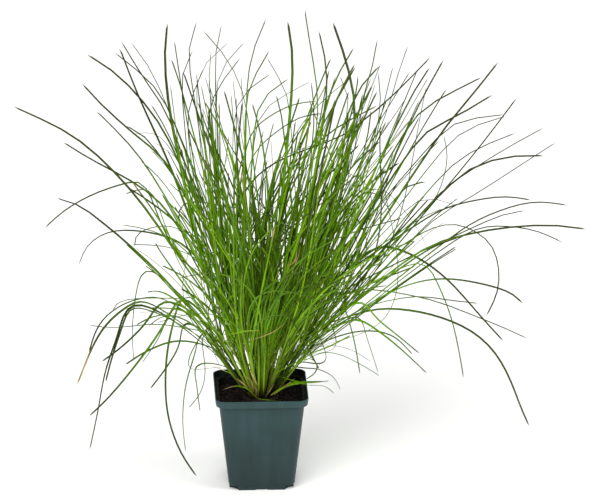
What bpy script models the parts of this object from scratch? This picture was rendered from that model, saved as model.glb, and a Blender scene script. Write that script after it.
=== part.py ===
"""Ornamental grass clump in a square nursery pot.

Metres, +Z up. The origin is under the middle of the pot, on the surface that it stands on, and the
pot's front faces -Y. The outer leaves follow routes read from the side that the photograph shows.
"""

import math
import random

import bmesh
import bpy
import numpy as np
from mathutils import Matrix, Vector, noise

MM = 0.001
GAP = 0.3 * MM  # between pieces that touch in the real plant
COLLECTION = "ornamental_grass_clump"

# Pot: half widths of its square sections, and heights
POT_HEIGHT = 96.4 * MM
RIM_HALF = 45 * MM
RIM_LOW_HALF = 44.2 * MM
BAND_Z = 89 * MM
BODY_HIGH_HALF = 41.2 * MM
BODY_LOW_HALF = 31.8 * MM
BODY_LOW_Z = 4.5 * MM
FOOT_HALF = 31 * MM
FOOT_CORNER = 5 * MM
FOOT_CUT_AT = 31.8 * MM  # hollows under the pot's corners, which leave the foot 45 mm wide at the front
FOOT_CUT_RADIUS = 9.4 * MM
FOOT_CUT_SIDES = 10
WALL = 1.2 * MM
POT_CORNER = 9 * MM
CORNER_STEPS = 3
NOTCH_WIDTH = 12 * MM
NOTCH_HEIGHT = 1.5 * MM
NOTCH_IN = 10 * MM  # where the notches end, from the middle
DRAIN_RADIUS = 4.6 * MM
DRAIN_SIDES = 6
DRAIN_AT = 16 * MM  # drain holes in the notches, from the middle
CORNER_DRAIN_AT = 20.5 * MM
CUT_THROUGH = 18 * MM  # height of the cutters that go through the floor

# Soil and the root crown that sits in it
SOIL_TOP = 84.5 * MM
SOIL_LUMP = 1.8 * MM
SOIL_LUMP_SIZES = (9 * MM, 5 * MM)
SOIL_GRID = 8
CROWN_RADIUS = 17.5 * MM
CROWN_LOW = 76 * MM
CROWN_TOP = 88 * MM
CROWN_SIDES = 20
CROWN_EDGE = 1.6 * MM
CROWN_LUMP = 1.5 * MM

# Shoots: round stems that fan out from the crown, each with its own leaves
SHOOTS = 57
LEAVES_EACH = 3
SLOT_RADIUS = 15.2 * MM
STEM_RADIUS = 1.35 * MM
STEM_TOP_RADIUS = 1.05 * MM
STEM_LENGTHS = (45 * MM, 85 * MM)
COLLAR_STEP = 0.17  # between leaves, as a share of the stem
STEM_LEAN = math.radians(38)  # of the outermost stems, from upright
GOLDEN_ANGLE = math.radians(137.508)
LEAF_POINTS = (4, 8)  # on a nearly straight leaf and on a hooked one
TURN_EACH_POINT = 0.5  # radians of bend that add a point
LEAF_KEEL = 0.42  # depth of a leaf's three-sided section, as a share of its width
SEED = 11

# How the photograph sees the plant: from above by VIEW_DROP, a little from the left, and far away
VIEW_DROP = math.radians(20)
VIEW_TURN = math.radians(-2.4)
VIEW_DISTANCE = 8.0
AIM_ACROSS = 38 * MM
AIM_UP = 221 * MM
REACH = 345 * MM  # length of most leaves, from the crown
UPRIGHT = 0.85  # how far the plant stands up from the plane that faces the viewer
DEPTH_MOST = 250 * MM
SEEN_TRIALS = 200
TRIAL_STEP = 4 * MM  # each trial moves a leaf that much more in depth, up to the next two
TRIAL_TIP_MOST = 60 * MM
TRIAL_BOW_MOST = 20 * MM
LOWEST_TIP = 6 * MM  # above the surface that the pot stands on

# Leaves that the photograph doesn't show whole
GROWN_LENGTHS = (150 * MM, 330 * MM)
GROWN_BENDS = (0, 0.6)
GROWN_TURN = 0.9  # how far they turn aside, in radians
GROWN_TRIALS = 2000
GROWN_LOWEST = 20 * MM
DENSE_MIDDLE = (20 * MM, 222 * MM)  # of the dense part of the clump as seen, across and up
DENSE_HALF = (155 * MM, 190 * MM)
POT_FRONT = (60 * MM, 90 * MM)  # kept open in front of the pot: half width and height

# Leaf widths in mm
WIDE = 4.6
MEDIUM = 3.2
THIN = 2.2

# The outer leaves as seen in the photograph: width, then points in mm across from the pot's middle
# and up from its base, from where the leaf comes out of the clump to its tip
SEEN_LEAVES = (
    # upper left
    (MEDIUM, ((-84, 221), (-115, 266), (-141, 296),
             (-166, 320), (-188, 336), (-208, 346), (-239, 360))),
    (MEDIUM, ((-95, 264), (-131, 291), (-149, 300), (-179, 317), (-191, 325))),
    (MEDIUM, ((-90, 329), (-121, 373), (-149, 399), (-168, 410))),
    (MEDIUM, ((-90, 304), (-123, 333), (-157, 364), (-173, 382))),
    (MEDIUM, ((-75, 240), (-95, 276), (-116, 309), (-133, 329), (-159, 355))),
    (WIDE, ((-86, 296), (-106, 341), (-121, 374), (-137, 416))),
    (THIN, ((-95, 370), (-117, 393), (-141, 412))),
    (THIN, ((-90, 352), (-112, 385), (-135, 423))),
    (THIN, ((-103, 389), (-126, 422))),
    (MEDIUM, ((-86, 296), (-105, 323), (-119, 338), (-130, 341))),
    (THIN, ((-95, 331), (-108, 336), (-124, 333))),
    (MEDIUM, ((-84, 221), (-105, 266), (-115, 290),
             (-131, 285), (-160, 276), (-192, 258), (-209, 242))),
    (MEDIUM, ((-49, 143), (-76, 173), (-99, 199), (-123, 222),
             (-141, 238), (-160, 253), (-183, 270), (-190, 265), (-197, 272))),
    (MEDIUM, ((-73, 225), (-95, 235), (-127, 240), (-149, 238), (-169, 225), (-176, 206))),
    (MEDIUM, ((-76, 240), (-99, 244), (-114, 240), (-123, 235), (-122, 224))),
    # top, left half
    (WIDE, ((-86, 343), (-91, 380), (-93, 411), (-90, 440))),
    (MEDIUM, ((-73, 352), (-79, 389), (-84, 423))),
    (MEDIUM, ((-79, 384), (-87, 406))),
    (MEDIUM, ((-78, 389), (-66, 414))),
    (THIN, ((-68, 389), (-71, 418), (-62, 442))),
    (MEDIUM, ((-72, 343), (-68, 367), (-56, 396))),
    (MEDIUM, ((-14, 359), (-23, 389), (-40, 416), (-56, 433))),
    (MEDIUM, ((-44, 385), (-44, 418), (-38, 439))),
    (MEDIUM, ((-51, 392), (-48, 414))),
    (MEDIUM, ((-64, 385), (-49, 408), (-31, 422))),
    (MEDIUM, ((-44, 382), (-34, 404), (-16, 422))),
    (MEDIUM, ((-52, 352), (-38, 384), (-20, 407))),
    (MEDIUM, ((-14, 380), (-7, 418), (5, 445))),
    (MEDIUM, ((-15, 367), (-3, 396), (8, 414))),
    (MEDIUM, ((27, 370), (15, 392), (6, 408))),
    (MEDIUM, ((-27, 352), (-8, 382), (9, 391))),
    (WIDE, ((29, 361), (31, 398), (30, 422), (26, 442))),
    # top, right half
    (WIDE, ((56, 352), (55, 380), (50, 410), (44, 445), (43, 454))),
    (MEDIUM, ((63, 359), (64, 389), (63, 404), (56, 433))),
    (WIDE, ((92, 345), (87, 389), (79, 416), (70, 441))),
    (MEDIUM, ((67, 374), (77, 396), (90, 417))),
    (MEDIUM, ((67, 352), (81, 382), (91, 401))),
    (MEDIUM, ((104, 384), (112, 411), (113, 425))),
    (MEDIUM, ((124, 359), (136, 402), (143, 419))),
    (MEDIUM, ((94, 376), (115, 399))),
    (MEDIUM, ((116, 352), (114, 393))),
    (MEDIUM, ((87, 370), (76, 390))),
    (MEDIUM, ((92, 370), (94, 390))),
    (MEDIUM, ((77, 325), (115, 359), (142, 385), (164, 408))),
    (MEDIUM, ((148, 374), (164, 398))),
    (MEDIUM, ((132, 315), (152, 359), (177, 405))),
    (THIN, ((-4, 348), (22, 370), (48, 384))),
    (MEDIUM, ((-12, 331), (11, 352), (33, 363), (55, 365))),
    (MEDIUM, ((-12, 305), (22, 341), (45, 353), (60, 353))),
    # right
    (MEDIUM, ((175, 335), (204, 370), (230, 403))),
    (MEDIUM, ((149, 350), (175, 368), (214, 388))),
    (MEDIUM, ((156, 333), (186, 348), (224, 371))),
    (MEDIUM, ((190, 293), (225, 337), (248, 368))),
    (THIN, ((182, 342), (204, 348), (236, 352))),
    (MEDIUM, ((184, 327), (212, 343), (237, 350))),
    (MEDIUM, ((171, 274), (204, 298), (241, 321), (274, 339))),
    (MEDIUM, ((167, 250), (204, 272), (241, 296), (286, 325))),
    (MEDIUM, ((196, 296), (228, 309), (255, 313), (274, 312))),
    (MEDIUM, ((182, 300), (210, 319), (247, 334))),
    (MEDIUM, ((171, 258), (204, 268), (238, 273), (262, 269))),
    (MEDIUM, ((200, 244), (241, 262), (265, 268), (297, 264))),
    (THIN, ((230, 254), (256, 259))),
    (MEDIUM, ((156, 221), (196, 235), (241, 243), (287, 245), (315, 241))),
    (MEDIUM, ((204, 240), (247, 243), (269, 239), (292, 228))),
    (MEDIUM, ((149, 233), (167, 243), (186, 248), (204, 241),
             (223, 229), (231, 201), (230, 180), (218, 157))),
    (MEDIUM, ((167, 266), (179, 296), (182, 317), (177, 333))),
    (MEDIUM, ((153, 271), (175, 269), (189, 264))),
    (MEDIUM, ((149, 325), (180, 377))),
    (THIN, ((110, 285), (134, 265), (149, 247), (162, 223), (166, 203))),
    # lower right
    (MEDIUM, ((111, 172), (149, 189), (182, 193), (223, 186), (249, 177), (254, 169))),
    (MEDIUM, ((99, 182), (131, 179), (167, 172), (204, 158), (234, 146), (258, 135))),
    (MEDIUM, ((103, 166), (131, 173), (153, 176), (182, 172), (210, 169))),
    (MEDIUM, ((106, 163), (131, 164), (167, 158), (200, 145),
             (223, 127), (241, 97), (253, 64), (260, 50))),
    (MEDIUM, ((156, 212), (167, 196), (182, 162), (190, 131), (196, 97))),
    (MEDIUM, ((111, 226), (134, 222), (156, 212), (182, 192), (214, 156), (235, 133))),
    (MEDIUM, ((59, 202), (71, 188), (83, 160), (91, 131), (96, 101))),
    (MEDIUM, ((93, 158), (103, 136), (114, 102))),
    (MEDIUM, ((97, 172), (111, 156), (131, 140), (154, 121))),
    (MEDIUM, ((90, 154), (115, 142), (141, 121), (161, 102))),
    (MEDIUM, ((48, 126), (71, 136), (93, 142), (115, 142), (131, 136), (147, 120))),
    (THIN, ((52, 126), (73, 128), (90, 123), (106, 113))),
    (MEDIUM, ((58, 121), (75, 120), (93, 112), (115, 99))),
    (MEDIUM, ((47, 119), (66, 127), (87, 138))),
    (MEDIUM, ((42, 107), (56, 106), (71, 98), (77, 86))),
    (MEDIUM, ((47, 116), (55, 109), (52, 101), (44, 96))),
    (MEDIUM, ((44, 92), (66, 94))),
    (THIN, ((44, 90), (62, 89), (71, 82))),
    # lower left
    (MEDIUM, ((-114, 172), (-135, 162), (-153, 145), (-166, 121), (-173, 103), (-178, 91))),
    (MEDIUM, ((-95, 174), (-119, 173), (-137, 166), (-155, 151), (-162, 136), (-166, 122))),
    (MEDIUM, ((-68, 170), (-95, 174), (-127, 173), (-141, 169), (-143, 162))),
    (MEDIUM, ((-45, 138), (-68, 144), (-101, 149), (-133, 146), (-157, 146), (-166, 148))),
    (MEDIUM, ((-40, 122), (-64, 131), (-86, 132), (-112, 122), (-131, 110))),
    (MEDIUM, ((-75, 176), (-92, 151), (-108, 127), (-127, 102), (-149, 76), (-166, 60))),
    (MEDIUM, ((-123, 170), (-141, 132), (-151, 105), (-158, 66), (-166, 28))),
    (MEDIUM, ((-123, 166), (-135, 143), (-145, 113), (-150, 93))),
    (MEDIUM, ((-90, 172), (-114, 147), (-135, 127), (-154, 113))),
    (MEDIUM, ((-73, 151), (-80, 127), (-94, 104), (-107, 87))),
    (MEDIUM, ((-72, 180), (-84, 151), (-90, 125), (-92, 97), (-90, 62), (-78, 26), (-62, 2))),
    (MEDIUM, ((-56, 143), (-64, 121), (-73, 91), (-76, 56), (-73, 26))),
    (THIN, ((-62, 109), (-62, 88), (-59, 65))),
    (THIN, ((-55, 140), (-54, 103), (-58, 84), (-70, 68))),
    (THIN, ((-92, 190), (-113, 203), (-123, 166), (-125, 136), (-123, 113))),
    (MEDIUM, ((-82, 166), (-99, 136), (-115, 112))),
    (THIN, ((-49, 132), (-40, 109))),
)


def collection_named(name):
    made = bpy.data.collections.new(name)
    bpy.context.scene.collection.children.link(made)
    return made


def clear_scene():
    for old in list(bpy.data.objects):
        bpy.data.objects.remove(old)


def material(name, colour, roughness):
    made = bpy.data.materials.new(name)
    made.use_nodes = True
    shader = made.node_tree.nodes["Principled BSDF"]
    shader.inputs["Base Color"].default_value = (*colour, 1)
    shader.inputs["Roughness"].default_value = roughness
    shader.inputs["Metallic"].default_value = 0
    return made


def mesh_object(name, mesh, collection):
    made = bpy.data.objects.new(name, mesh)
    collection.objects.link(made)
    return made


def hide_helper(helper):
    helper.hide_render = True
    helper.display_type = "WIRE"


def bmesh_object(name, shape, collection):
    mesh = bpy.data.meshes.new(name)
    bmesh.ops.recalc_face_normals(shape, faces=shape.faces)
    shape.to_mesh(mesh)
    shape.free()
    return mesh_object(name, mesh, collection)


GRAZING_SOLVER = "MANIFOLD"  # leaves leave their stem at too fine an angle for the exact one


def tapered_block(name, low_half, high_half, low_z, high_z, corner, collection):
    """A square block with round corners whose half width changes from low_z to high_z."""
    shape = bmesh.new()
    bmesh.ops.create_cube(shape, size=2)
    upright = [e for e in shape.edges if abs(e.verts[0].co.z - e.verts[1].co.z) > 1]
    for vert in shape.verts:
        half, z = (high_half, high_z) if vert.co.z > 0 else (low_half, low_z)
        vert.co = Vector((vert.co.x * half, vert.co.y * half, z))
    bmesh.ops.bevel(
        shape, geom=upright, offset=corner, segments=CORNER_STEPS, affect="EDGES", profile=0.5
    )
    return bmesh_object(name, shape, collection)


def box(name, centre, sizes, collection):
    shape = bmesh.new()
    bmesh.ops.create_cube(shape, size=1)
    bmesh.ops.scale(shape, vec=sizes, verts=shape.verts)
    bmesh.ops.translate(shape, vec=centre, verts=shape.verts)
    return bmesh_object(name, shape, collection)


def cylinder(name, centre, radius, height, sides, collection):
    shape = bmesh.new()
    bmesh.ops.create_cone(
        shape, cap_ends=True, segments=sides, radius1=radius, radius2=radius, depth=height
    )
    bmesh.ops.translate(shape, vec=centre, verts=shape.verts)
    return bmesh_object(name, shape, collection)


def combine(target, helper, operation, solver="EXACT"):
    """Adds a Boolean to target and hides the object that it uses."""
    step = target.modifiers.new(f"{operation} {helper.name}", "BOOLEAN")
    step.object = helper
    step.operation = operation
    step.solver = solver
    hide_helper(helper)


def body_half(z):
    """Outer half width of the pot's tapered body at that height."""
    slope = (BODY_HIGH_HALF - BODY_LOW_HALF) / (BAND_Z - BODY_LOW_Z)
    return BODY_LOW_HALF + (z - BODY_LOW_Z) * slope


def body_block(name, low_z, high_z, inset, collection):
    """A block as wide as the pot's body, less an inset all round."""
    low_half, high_half = body_half(low_z) - inset, body_half(high_z) - inset
    return tapered_block(name, low_half, high_half, low_z, high_z, POT_CORNER - inset, collection)


def make_pot(parts, helpers):
    pot = body_block("pot", BODY_LOW_Z, BAND_Z + WALL, 0, parts)
    band = tapered_block(
        "pot_band", RIM_LOW_HALF, RIM_HALF, BAND_Z, POT_HEIGHT, POT_CORNER + WALL, helpers
    )
    foot = tapered_block(
        "pot_foot", FOOT_HALF, body_half(BODY_LOW_Z), 0, BODY_LOW_Z, FOOT_CORNER, helpers
    )
    for quarter in range(4):
        turn = Matrix.Rotation(quarter * math.pi / 2, 3, "Z")
        hollow = cylinder(
            f"foot_hollow_{quarter}",
            turn @ Vector((FOOT_CUT_AT, FOOT_CUT_AT, 0)),
            FOOT_CUT_RADIUS,
            2 * BODY_LOW_Z - GAP,
            FOOT_CUT_SIDES,
            helpers,
        )
        combine(foot, hollow, "DIFFERENCE")
    combine(pot, band, "UNION")
    combine(pot, foot, "UNION")
    cavity = body_block("pot_cavity", BODY_LOW_Z + WALL, POT_HEIGHT, WALL, helpers)
    mouth = tapered_block(
        "pot_mouth",
        RIM_LOW_HALF - WALL,
        RIM_HALF - WALL,
        BAND_Z + WALL,
        POT_HEIGHT + WALL,
        POT_CORNER,
        helpers,
    )
    combine(pot, cavity, "DIFFERENCE")
    combine(pot, mouth, "DIFFERENCE")
    long = FOOT_HALF - NOTCH_IN + 2 * WALL
    for quarter in range(4):
        turn = Matrix.Rotation(quarter * math.pi / 2, 3, "Z")
        notch = box(
            f"notch_{quarter}",
            (NOTCH_IN + long / 2, 0, 0),
            (long, NOTCH_WIDTH, 2 * NOTCH_HEIGHT),
            helpers,
        )
        notch.rotation_euler.z = quarter * math.pi / 2
        combine(pot, notch, "DIFFERENCE")
        corner = (CORNER_DRAIN_AT, CORNER_DRAIN_AT, 0)
        for number, place in enumerate(((DRAIN_AT, 0, 0), corner)):
            drain = cylinder(
                f"drain_{quarter}_{number}",
                turn @ Vector(place),
                DRAIN_RADIUS,
                CUT_THROUGH,
                DRAIN_SIDES,
                helpers,
            )
            combine(pot, drain, "DIFFERENCE")
    pot.data.materials.append(material("blue green plastic", (0.052, 0.09, 0.095), 0.5))
    return pot


def make_soil(parts, helpers):
    """Peat up to just under the rim, lumpy on top, with a pocket for the crown."""
    floor = BODY_LOW_Z + WALL + GAP
    soil = body_block("potting_soil", floor, BAND_Z + WALL, WALL + GAP, parts)
    lumps = bmesh.new()
    bmesh.ops.create_grid(lumps, x_segments=SOIL_GRID, y_segments=SOIL_GRID, size=RIM_HALF)
    for vert in lumps.verts:
        broad, fine = (noise.noise(vert.co / size) for size in SOIL_LUMP_SIZES)
        vert.co.z = SOIL_TOP + SOIL_LUMP * (broad + 0.6 * fine)
    surface = bmesh_object("soil_surface", lumps, helpers)
    body = surface.modifiers.new("depth", "SOLIDIFY")
    body.thickness = POT_HEIGHT
    body.offset = -1
    combine(soil, surface, "INTERSECT")
    pocket = cylinder(
        "crown_pocket",
        (0, 0, CROWN_LOW - GAP + POT_HEIGHT / 2),
        CROWN_RADIUS + GAP,
        POT_HEIGHT,
        CROWN_SIDES,
        helpers,
    )
    combine(soil, pocket, "DIFFERENCE")
    soil.data.materials.append(material("dark peat", (0.012, 0.009, 0.006), 0.95))
    return soil


def make_crown(parts):
    """The low woody cushion that every shoot grows from, flat on top and uneven round its edge."""
    shape = bmesh.new()
    height = CROWN_TOP - CROWN_LOW
    bmesh.ops.create_cone(
        shape,
        cap_ends=True,
        segments=CROWN_SIDES,
        radius1=CROWN_RADIUS - GAP,
        radius2=CROWN_RADIUS - GAP,
        depth=height,
    )
    bmesh.ops.translate(shape, vec=(0, 0, CROWN_LOW + height / 2), verts=shape.verts)
    top = [e for e in shape.edges if min(v.co.z for v in e.verts) > CROWN_TOP - MM]
    bmesh.ops.bevel(shape, geom=top, offset=CROWN_EDGE, segments=1, affect="EDGES")
    for vert in shape.verts:
        if CROWN_LOW + MM < vert.co.z < CROWN_TOP - MM:
            vert.co.z += CROWN_LUMP * noise.noise(vert.co / SOIL_LUMP_SIZES[1])
    crown = bmesh_object("root_crown", shape, parts)
    crown.data.materials.append(material("brown sheaths", (0.16, 0.1, 0.04), 0.8))
    return crown


def in_view(across, up, away):
    """The place in the plant of a point given across, up and away from the viewer."""
    spread = 1 + away / VIEW_DISTANCE
    seen = Vector(
        (
            AIM_ACROSS + (across - AIM_ACROSS) * spread,
            away,
            AIM_UP + (up - AIM_UP) * spread,
        )
    )
    return VIEW_AXES @ seen


VIEW_AXES = Matrix.Rotation(VIEW_TURN, 3, "Z") @ Matrix.Rotation(-VIEW_DROP, 3, "X")
TO_VIEW = VIEW_AXES.transposed()


class Shoot:
    """One stem standing in its slot of the crown, and the leaves that it carries."""

    def __init__(self, number, chance):
        share = math.sqrt((number + 0.5) / SHOOTS)
        self.azimuth = number * GOLDEN_ANGLE
        self.lean = STEM_LEAN * share
        outward = Vector((math.cos(self.azimuth), math.sin(self.azimuth), 0))
        self.direction = outward * math.sin(self.lean) + Vector((0, 0, math.cos(self.lean)))
        foot = CROWN_TOP + GAP + STEM_RADIUS * math.sin(self.lean)
        self.base = outward * SLOT_RADIUS * share + Vector((0, 0, foot))
        self.length = chance.uniform(*STEM_LENGTHS)
        self.leaves = []

    def next_collar(self):
        """How far up the stem the next leaf leaves it: the first at the top, the others lower down."""
        return self.length * (1 - COLLAR_STEP * len(self.leaves))

    def at(self, distance):
        return self.base + self.direction * distance


def smooth_route(points):
    """Points at even steps along a smooth curve through the given ones, more of them where it bends."""
    given = np.array(points)
    ends = np.vstack([2 * given[0] - given[1], given, 2 * given[-1] - given[-2]])
    fine = []
    share = np.linspace(0, 1, 9)[:-1, None]
    for before, start, end, after in zip(ends, ends[1:], ends[2:], ends[3:]):
        length = np.linalg.norm(end - start)
        slope_in = (end - before) * length / np.linalg.norm(end - before)
        slope_out = (after - start) * length / np.linalg.norm(after - start)
        fine.append(
            start * (2 * share**3 - 3 * share**2 + 1)
            + slope_in * (share**3 - 2 * share**2 + share)
            + end * (3 * share**2 - 2 * share**3)
            + slope_out * (share**3 - share**2)
        )
    fine = np.vstack([*fine, given[-1:]])
    runs = np.diff(fine, axis=0)
    lengths = np.linalg.norm(runs, axis=1)
    runs /= lengths[:, None]
    bend = np.arccos(np.clip((runs[1:] * runs[:-1]).sum(1), -1, 1)).sum()
    fewest, most = LEAF_POINTS
    count = min(most, fewest + int(bend / TURN_EACH_POINT))
    steps = np.concatenate([[0], np.cumsum(lengths)])
    even = np.linspace(0, steps[-1], count)
    return np.column_stack([np.interp(even, steps, fine[:, axis]) for axis in range(3)])


def least_gap(route, radius, starts, ends, radii):
    """How far the route's segments stay from other segments, less both half thicknesses."""
    if not len(starts):
        return math.inf
    first, last = route[:-1, None], route[1:, None]
    along, other = last - first, (ends - starts)[None]
    between = first - starts[None]
    a = (along**2).sum(-1)
    e = (other**2).sum(-1)
    b = (along * other).sum(-1)
    c = (along * between).sum(-1)
    f = (other * between).sum(-1)
    slack = np.maximum(a * e - b * b, 1e-18)
    s = np.clip((b * f - c * e) / slack, 0, 1)
    t = np.clip((b * s + f) / e, 0, 1)
    s = np.clip((b * t - c) / a, 0, 1)
    apart = between + along * s[..., None] - other * t[..., None]
    return float((np.linalg.norm(apart, axis=-1) - radii[None] - radius).min())


class Clump:
    """Lays the leaves one after another, each clear of the shoots laid before it."""

    def __init__(self):
        self.chance = random.Random(SEED)
        self.shoots = [Shoot(number, self.chance) for number in range(SHOOTS)]
        self.starts = np.array([shoot.base for shoot in self.shoots])
        self.ends = np.array([shoot.at(shoot.length) for shoot in self.shoots])
        self.radii = np.full(SHOOTS, STEM_RADIUS)
        self.owners = np.arange(SHOOTS)
        for z in (BAND_Z + WALL, POT_HEIGHT - WALL):
            corners = [(-1, -1), (1, -1), (1, 1), (-1, 1), (-1, -1)]
            rim = np.array([(x * RIM_HALF, y * RIM_HALF, z) for x, y in corners])
            self.keep_off(-1, rim, 2 * WALL)

    def clear(self, owner, route, radius):
        """Whether a leaf misses every other shoot, and the rest of its own once it is off the stem."""
        others = self.owners != owner
        found = least_gap(
            route, radius, self.starts[others], self.ends[others], self.radii[others]
        )
        for leaf, width, _ in self.shoots[owner].leaves:
            outer, own = route[2:], leaf[2:]
            found = min(found, least_gap(outer, radius, own[:-1], own[1:], np.array([width / 2])))
        return found >= GAP

    def keep_off(self, owner, route, radius):
        """Notes a route that what is laid later stays clear of."""
        self.starts = np.vstack([self.starts, route[:-1]])
        self.ends = np.vstack([self.ends, route[1:]])
        self.radii = np.append(self.radii, np.full(len(route) - 1, radius))
        self.owners = np.append(self.owners, np.full(len(route) - 1, owner))

    def add(self, owner, route, width):
        self.keep_off(owner, route, width / 2)
        roll = self.chance.uniform(0.1, 0.6) * self.chance.choice((-1, 1))
        self.shoots[owner].leaves.append((route, width, roll))

    def seen_leaf(self, shoot, points, tip_away, bow):
        """A leaf through points read from the photograph, with a depth given to each."""
        first = in_view(points[0][0] * MM, points[0][1] * MM, 0)
        leaves_at = min(shoot.next_collar(), 0.5 * (first - shoot.base).length)
        root = shoot.at(leaves_at)
        root_away = (TO_VIEW @ root).y
        flat = [Vector(((TO_VIEW @ root).x, (TO_VIEW @ root).z))]
        flat += [Vector(point) * MM for point in points]
        steps = [0]
        for here, there in zip(flat, flat[1:]):
            steps.append(steps[-1] + (there - here).length)
        route = [shoot.at(0.5 * leaves_at), root]
        for point, step in zip(flat[1:], steps[1:]):
            share = step / steps[-1]
            away = root_away + (tip_away - root_away) * share
            route.append(in_view(*point, away + bow * math.sin(math.pi * share)))
        return smooth_route(route)

    def lay_seen(self):
        crown = TO_VIEW @ Vector((0, 0, CROWN_TOP))
        for number, (width, points) in enumerate(SEEN_LEAVES):
            seen = [Vector((crown.x, crown.z))] + [Vector(point) * MM for point in points]
            lengths = [(there - here).length for here, there in zip(seen, seen[1:])]
            inner, tip = seen[1], seen[-1]
            depth = min(math.sqrt(max(0.0, REACH**2 - sum(lengths) ** 2)), 0.6 * sum(lengths))
            side = 1 if number % 2 and tip.y > 0.2 else -1
            middle = side * depth - UPRIGHT * tip.y * math.tan(VIEW_DROP)
            share = lengths[0] / sum(lengths)
            for trial in range(SEEN_TRIALS):
                spread = TRIAL_STEP * trial
                away = middle + self.chance.gauss(0, 1) * min(TRIAL_TIP_MOST, spread)
                bow = self.chance.gauss(0, 1) * min(TRIAL_BOW_MOST, spread / 2)
                inner_at = in_view(inner.x, inner.y, away * min(1, share))
                chord = (inner_at - Vector((0, 0, CROWN_TOP))).normalized()
                tip_at = in_view(tip.x, tip.y, away)
                onward = (tip_at - inner_at).normalized()
                wanted = (1.5 * chord - 0.5 * onward).normalized()
                free = [s for s in range(SHOOTS) if len(self.shoots[s].leaves) < LEAVES_EACH]
                free.sort(key=lambda s: -wanted.dot(self.shoots[s].direction))
                owner = free[min(trial % 4, len(free) - 1)]
                route = self.seen_leaf(self.shoots[owner], points, away, bow)
                in_depth = abs(route[:, 1]).max() < DEPTH_MOST
                low = route[:, 2].min()
                if in_depth and low > LOWEST_TIP and self.clear(owner, route, width * MM / 2):
                    self.add(owner, route, width * MM)
                    break

    def grown_leaf(self, shoot):
        """A leaf that nobody sees whole: it leaves the stem upright and bends over with its weight."""
        chance = self.chance
        leaves_at = shoot.next_collar()
        azimuth = shoot.azimuth + chance.gauss(0, GROWN_TURN)
        length = chance.uniform(*GROWN_LENGTHS)
        bend = chance.uniform(*GROWN_BENDS) + 0.8 * shoot.lean
        route = [shoot.at(0.5 * leaves_at), shoot.at(leaves_at)]
        steps = 6
        for step in range(steps):
            share = (step + 0.5) / steps
            lean = shoot.lean + bend * share**1.3
            turn = azimuth + (shoot.azimuth - azimuth) * (1 - share)
            outward = Vector((math.cos(turn), math.sin(turn), 0)) * math.sin(lean)
            route.append(route[-1] + (outward + Vector((0, 0, math.cos(lean)))) * length / steps)
        return smooth_route(route)

    def in_dense_part(self, route):
        """Whether the leaf stays where the photograph shows leaves all over, off the pot's front."""
        seen = np.array([TO_VIEW @ Vector(point) for point in route])[2:, ::2]
        inside = (((seen - DENSE_MIDDLE) / DENSE_HALF) ** 2).sum(1) < 1
        before_pot = (abs(seen[:, 0]) < POT_FRONT[0]) & (seen[:, 1] < POT_FRONT[1])
        in_depth = abs(route[:, 1]).max() < DEPTH_MOST
        low = route[:, 2].min()
        return inside.all() and not before_pot.any() and in_depth and low > GROWN_LOWEST

    def lay_grown(self):
        for owner, shoot in enumerate(self.shoots):
            for _ in range(GROWN_TRIALS):
                if len(shoot.leaves) >= LEAVES_EACH:
                    break
                width = self.chance.choice((WIDE, MEDIUM, MEDIUM, THIN)) * MM
                route = self.grown_leaf(shoot)
                if self.in_dense_part(route) and self.clear(owner, route, width / 2):
                    self.add(owner, route, width)


def leaf_section(collection):
    """The three-sided section of a leaf one metre wide: flat above, with a keel below."""
    curve = bpy.data.curves.new("leaf_section", "CURVE")
    curve.dimensions = "2D"
    spline = curve.splines.new("POLY")
    corners = ((-0.5, LEAF_KEEL / 3), (0.5, LEAF_KEEL / 3), (0, -LEAF_KEEL * 2 / 3))
    spline.points.add(len(corners) - 1)
    for point, (x, y) in zip(spline.points, corners):
        point.co = (x, y, 0, 1)
    spline.use_cyclic_u = True
    section = bpy.data.objects.new("leaf_section", curve)
    collection.objects.link(section)
    hide_helper(section)
    return section


def leaf_width(share):
    """Width along a leaf as a share of its widest: narrow where it leaves the stem, fine at the tip."""
    return min(1, 0.45 + 3 * share) * (1 - 0.88 * share**2.5)


def curve_object(name, route, widths, roll, collection):
    curve = bpy.data.curves.new(name, "CURVE")
    curve.dimensions = "3D"
    curve.use_fill_caps = True
    spline = curve.splines.new("POLY")
    spline.points.add(len(route) - 1)
    for point, place, width in zip(spline.points, route, widths):
        point.co = (*place, 1)
        point.radius = width
        point.tilt = roll
    made = bpy.data.objects.new(name, curve)
    collection.objects.link(made)
    return made


def as_mesh(curve_holder, collection):
    """Replaces a curve object by the mesh that it draws, with its caps welded on."""
    bpy.context.view_layer.update()
    graph = bpy.context.evaluated_depsgraph_get()
    mesh = bpy.data.meshes.new_from_object(curve_holder.evaluated_get(graph))
    shape = bmesh.new()
    shape.from_mesh(mesh)
    bmesh.ops.remove_doubles(shape, verts=shape.verts, dist=1e-6)
    shape.to_mesh(mesh)
    shape.free()
    name = curve_holder.name
    matrix = curve_holder.matrix_world.copy()
    bpy.data.objects.remove(curve_holder)
    made = mesh_object(name, mesh, collection)
    made.matrix_world = matrix
    return made


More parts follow.
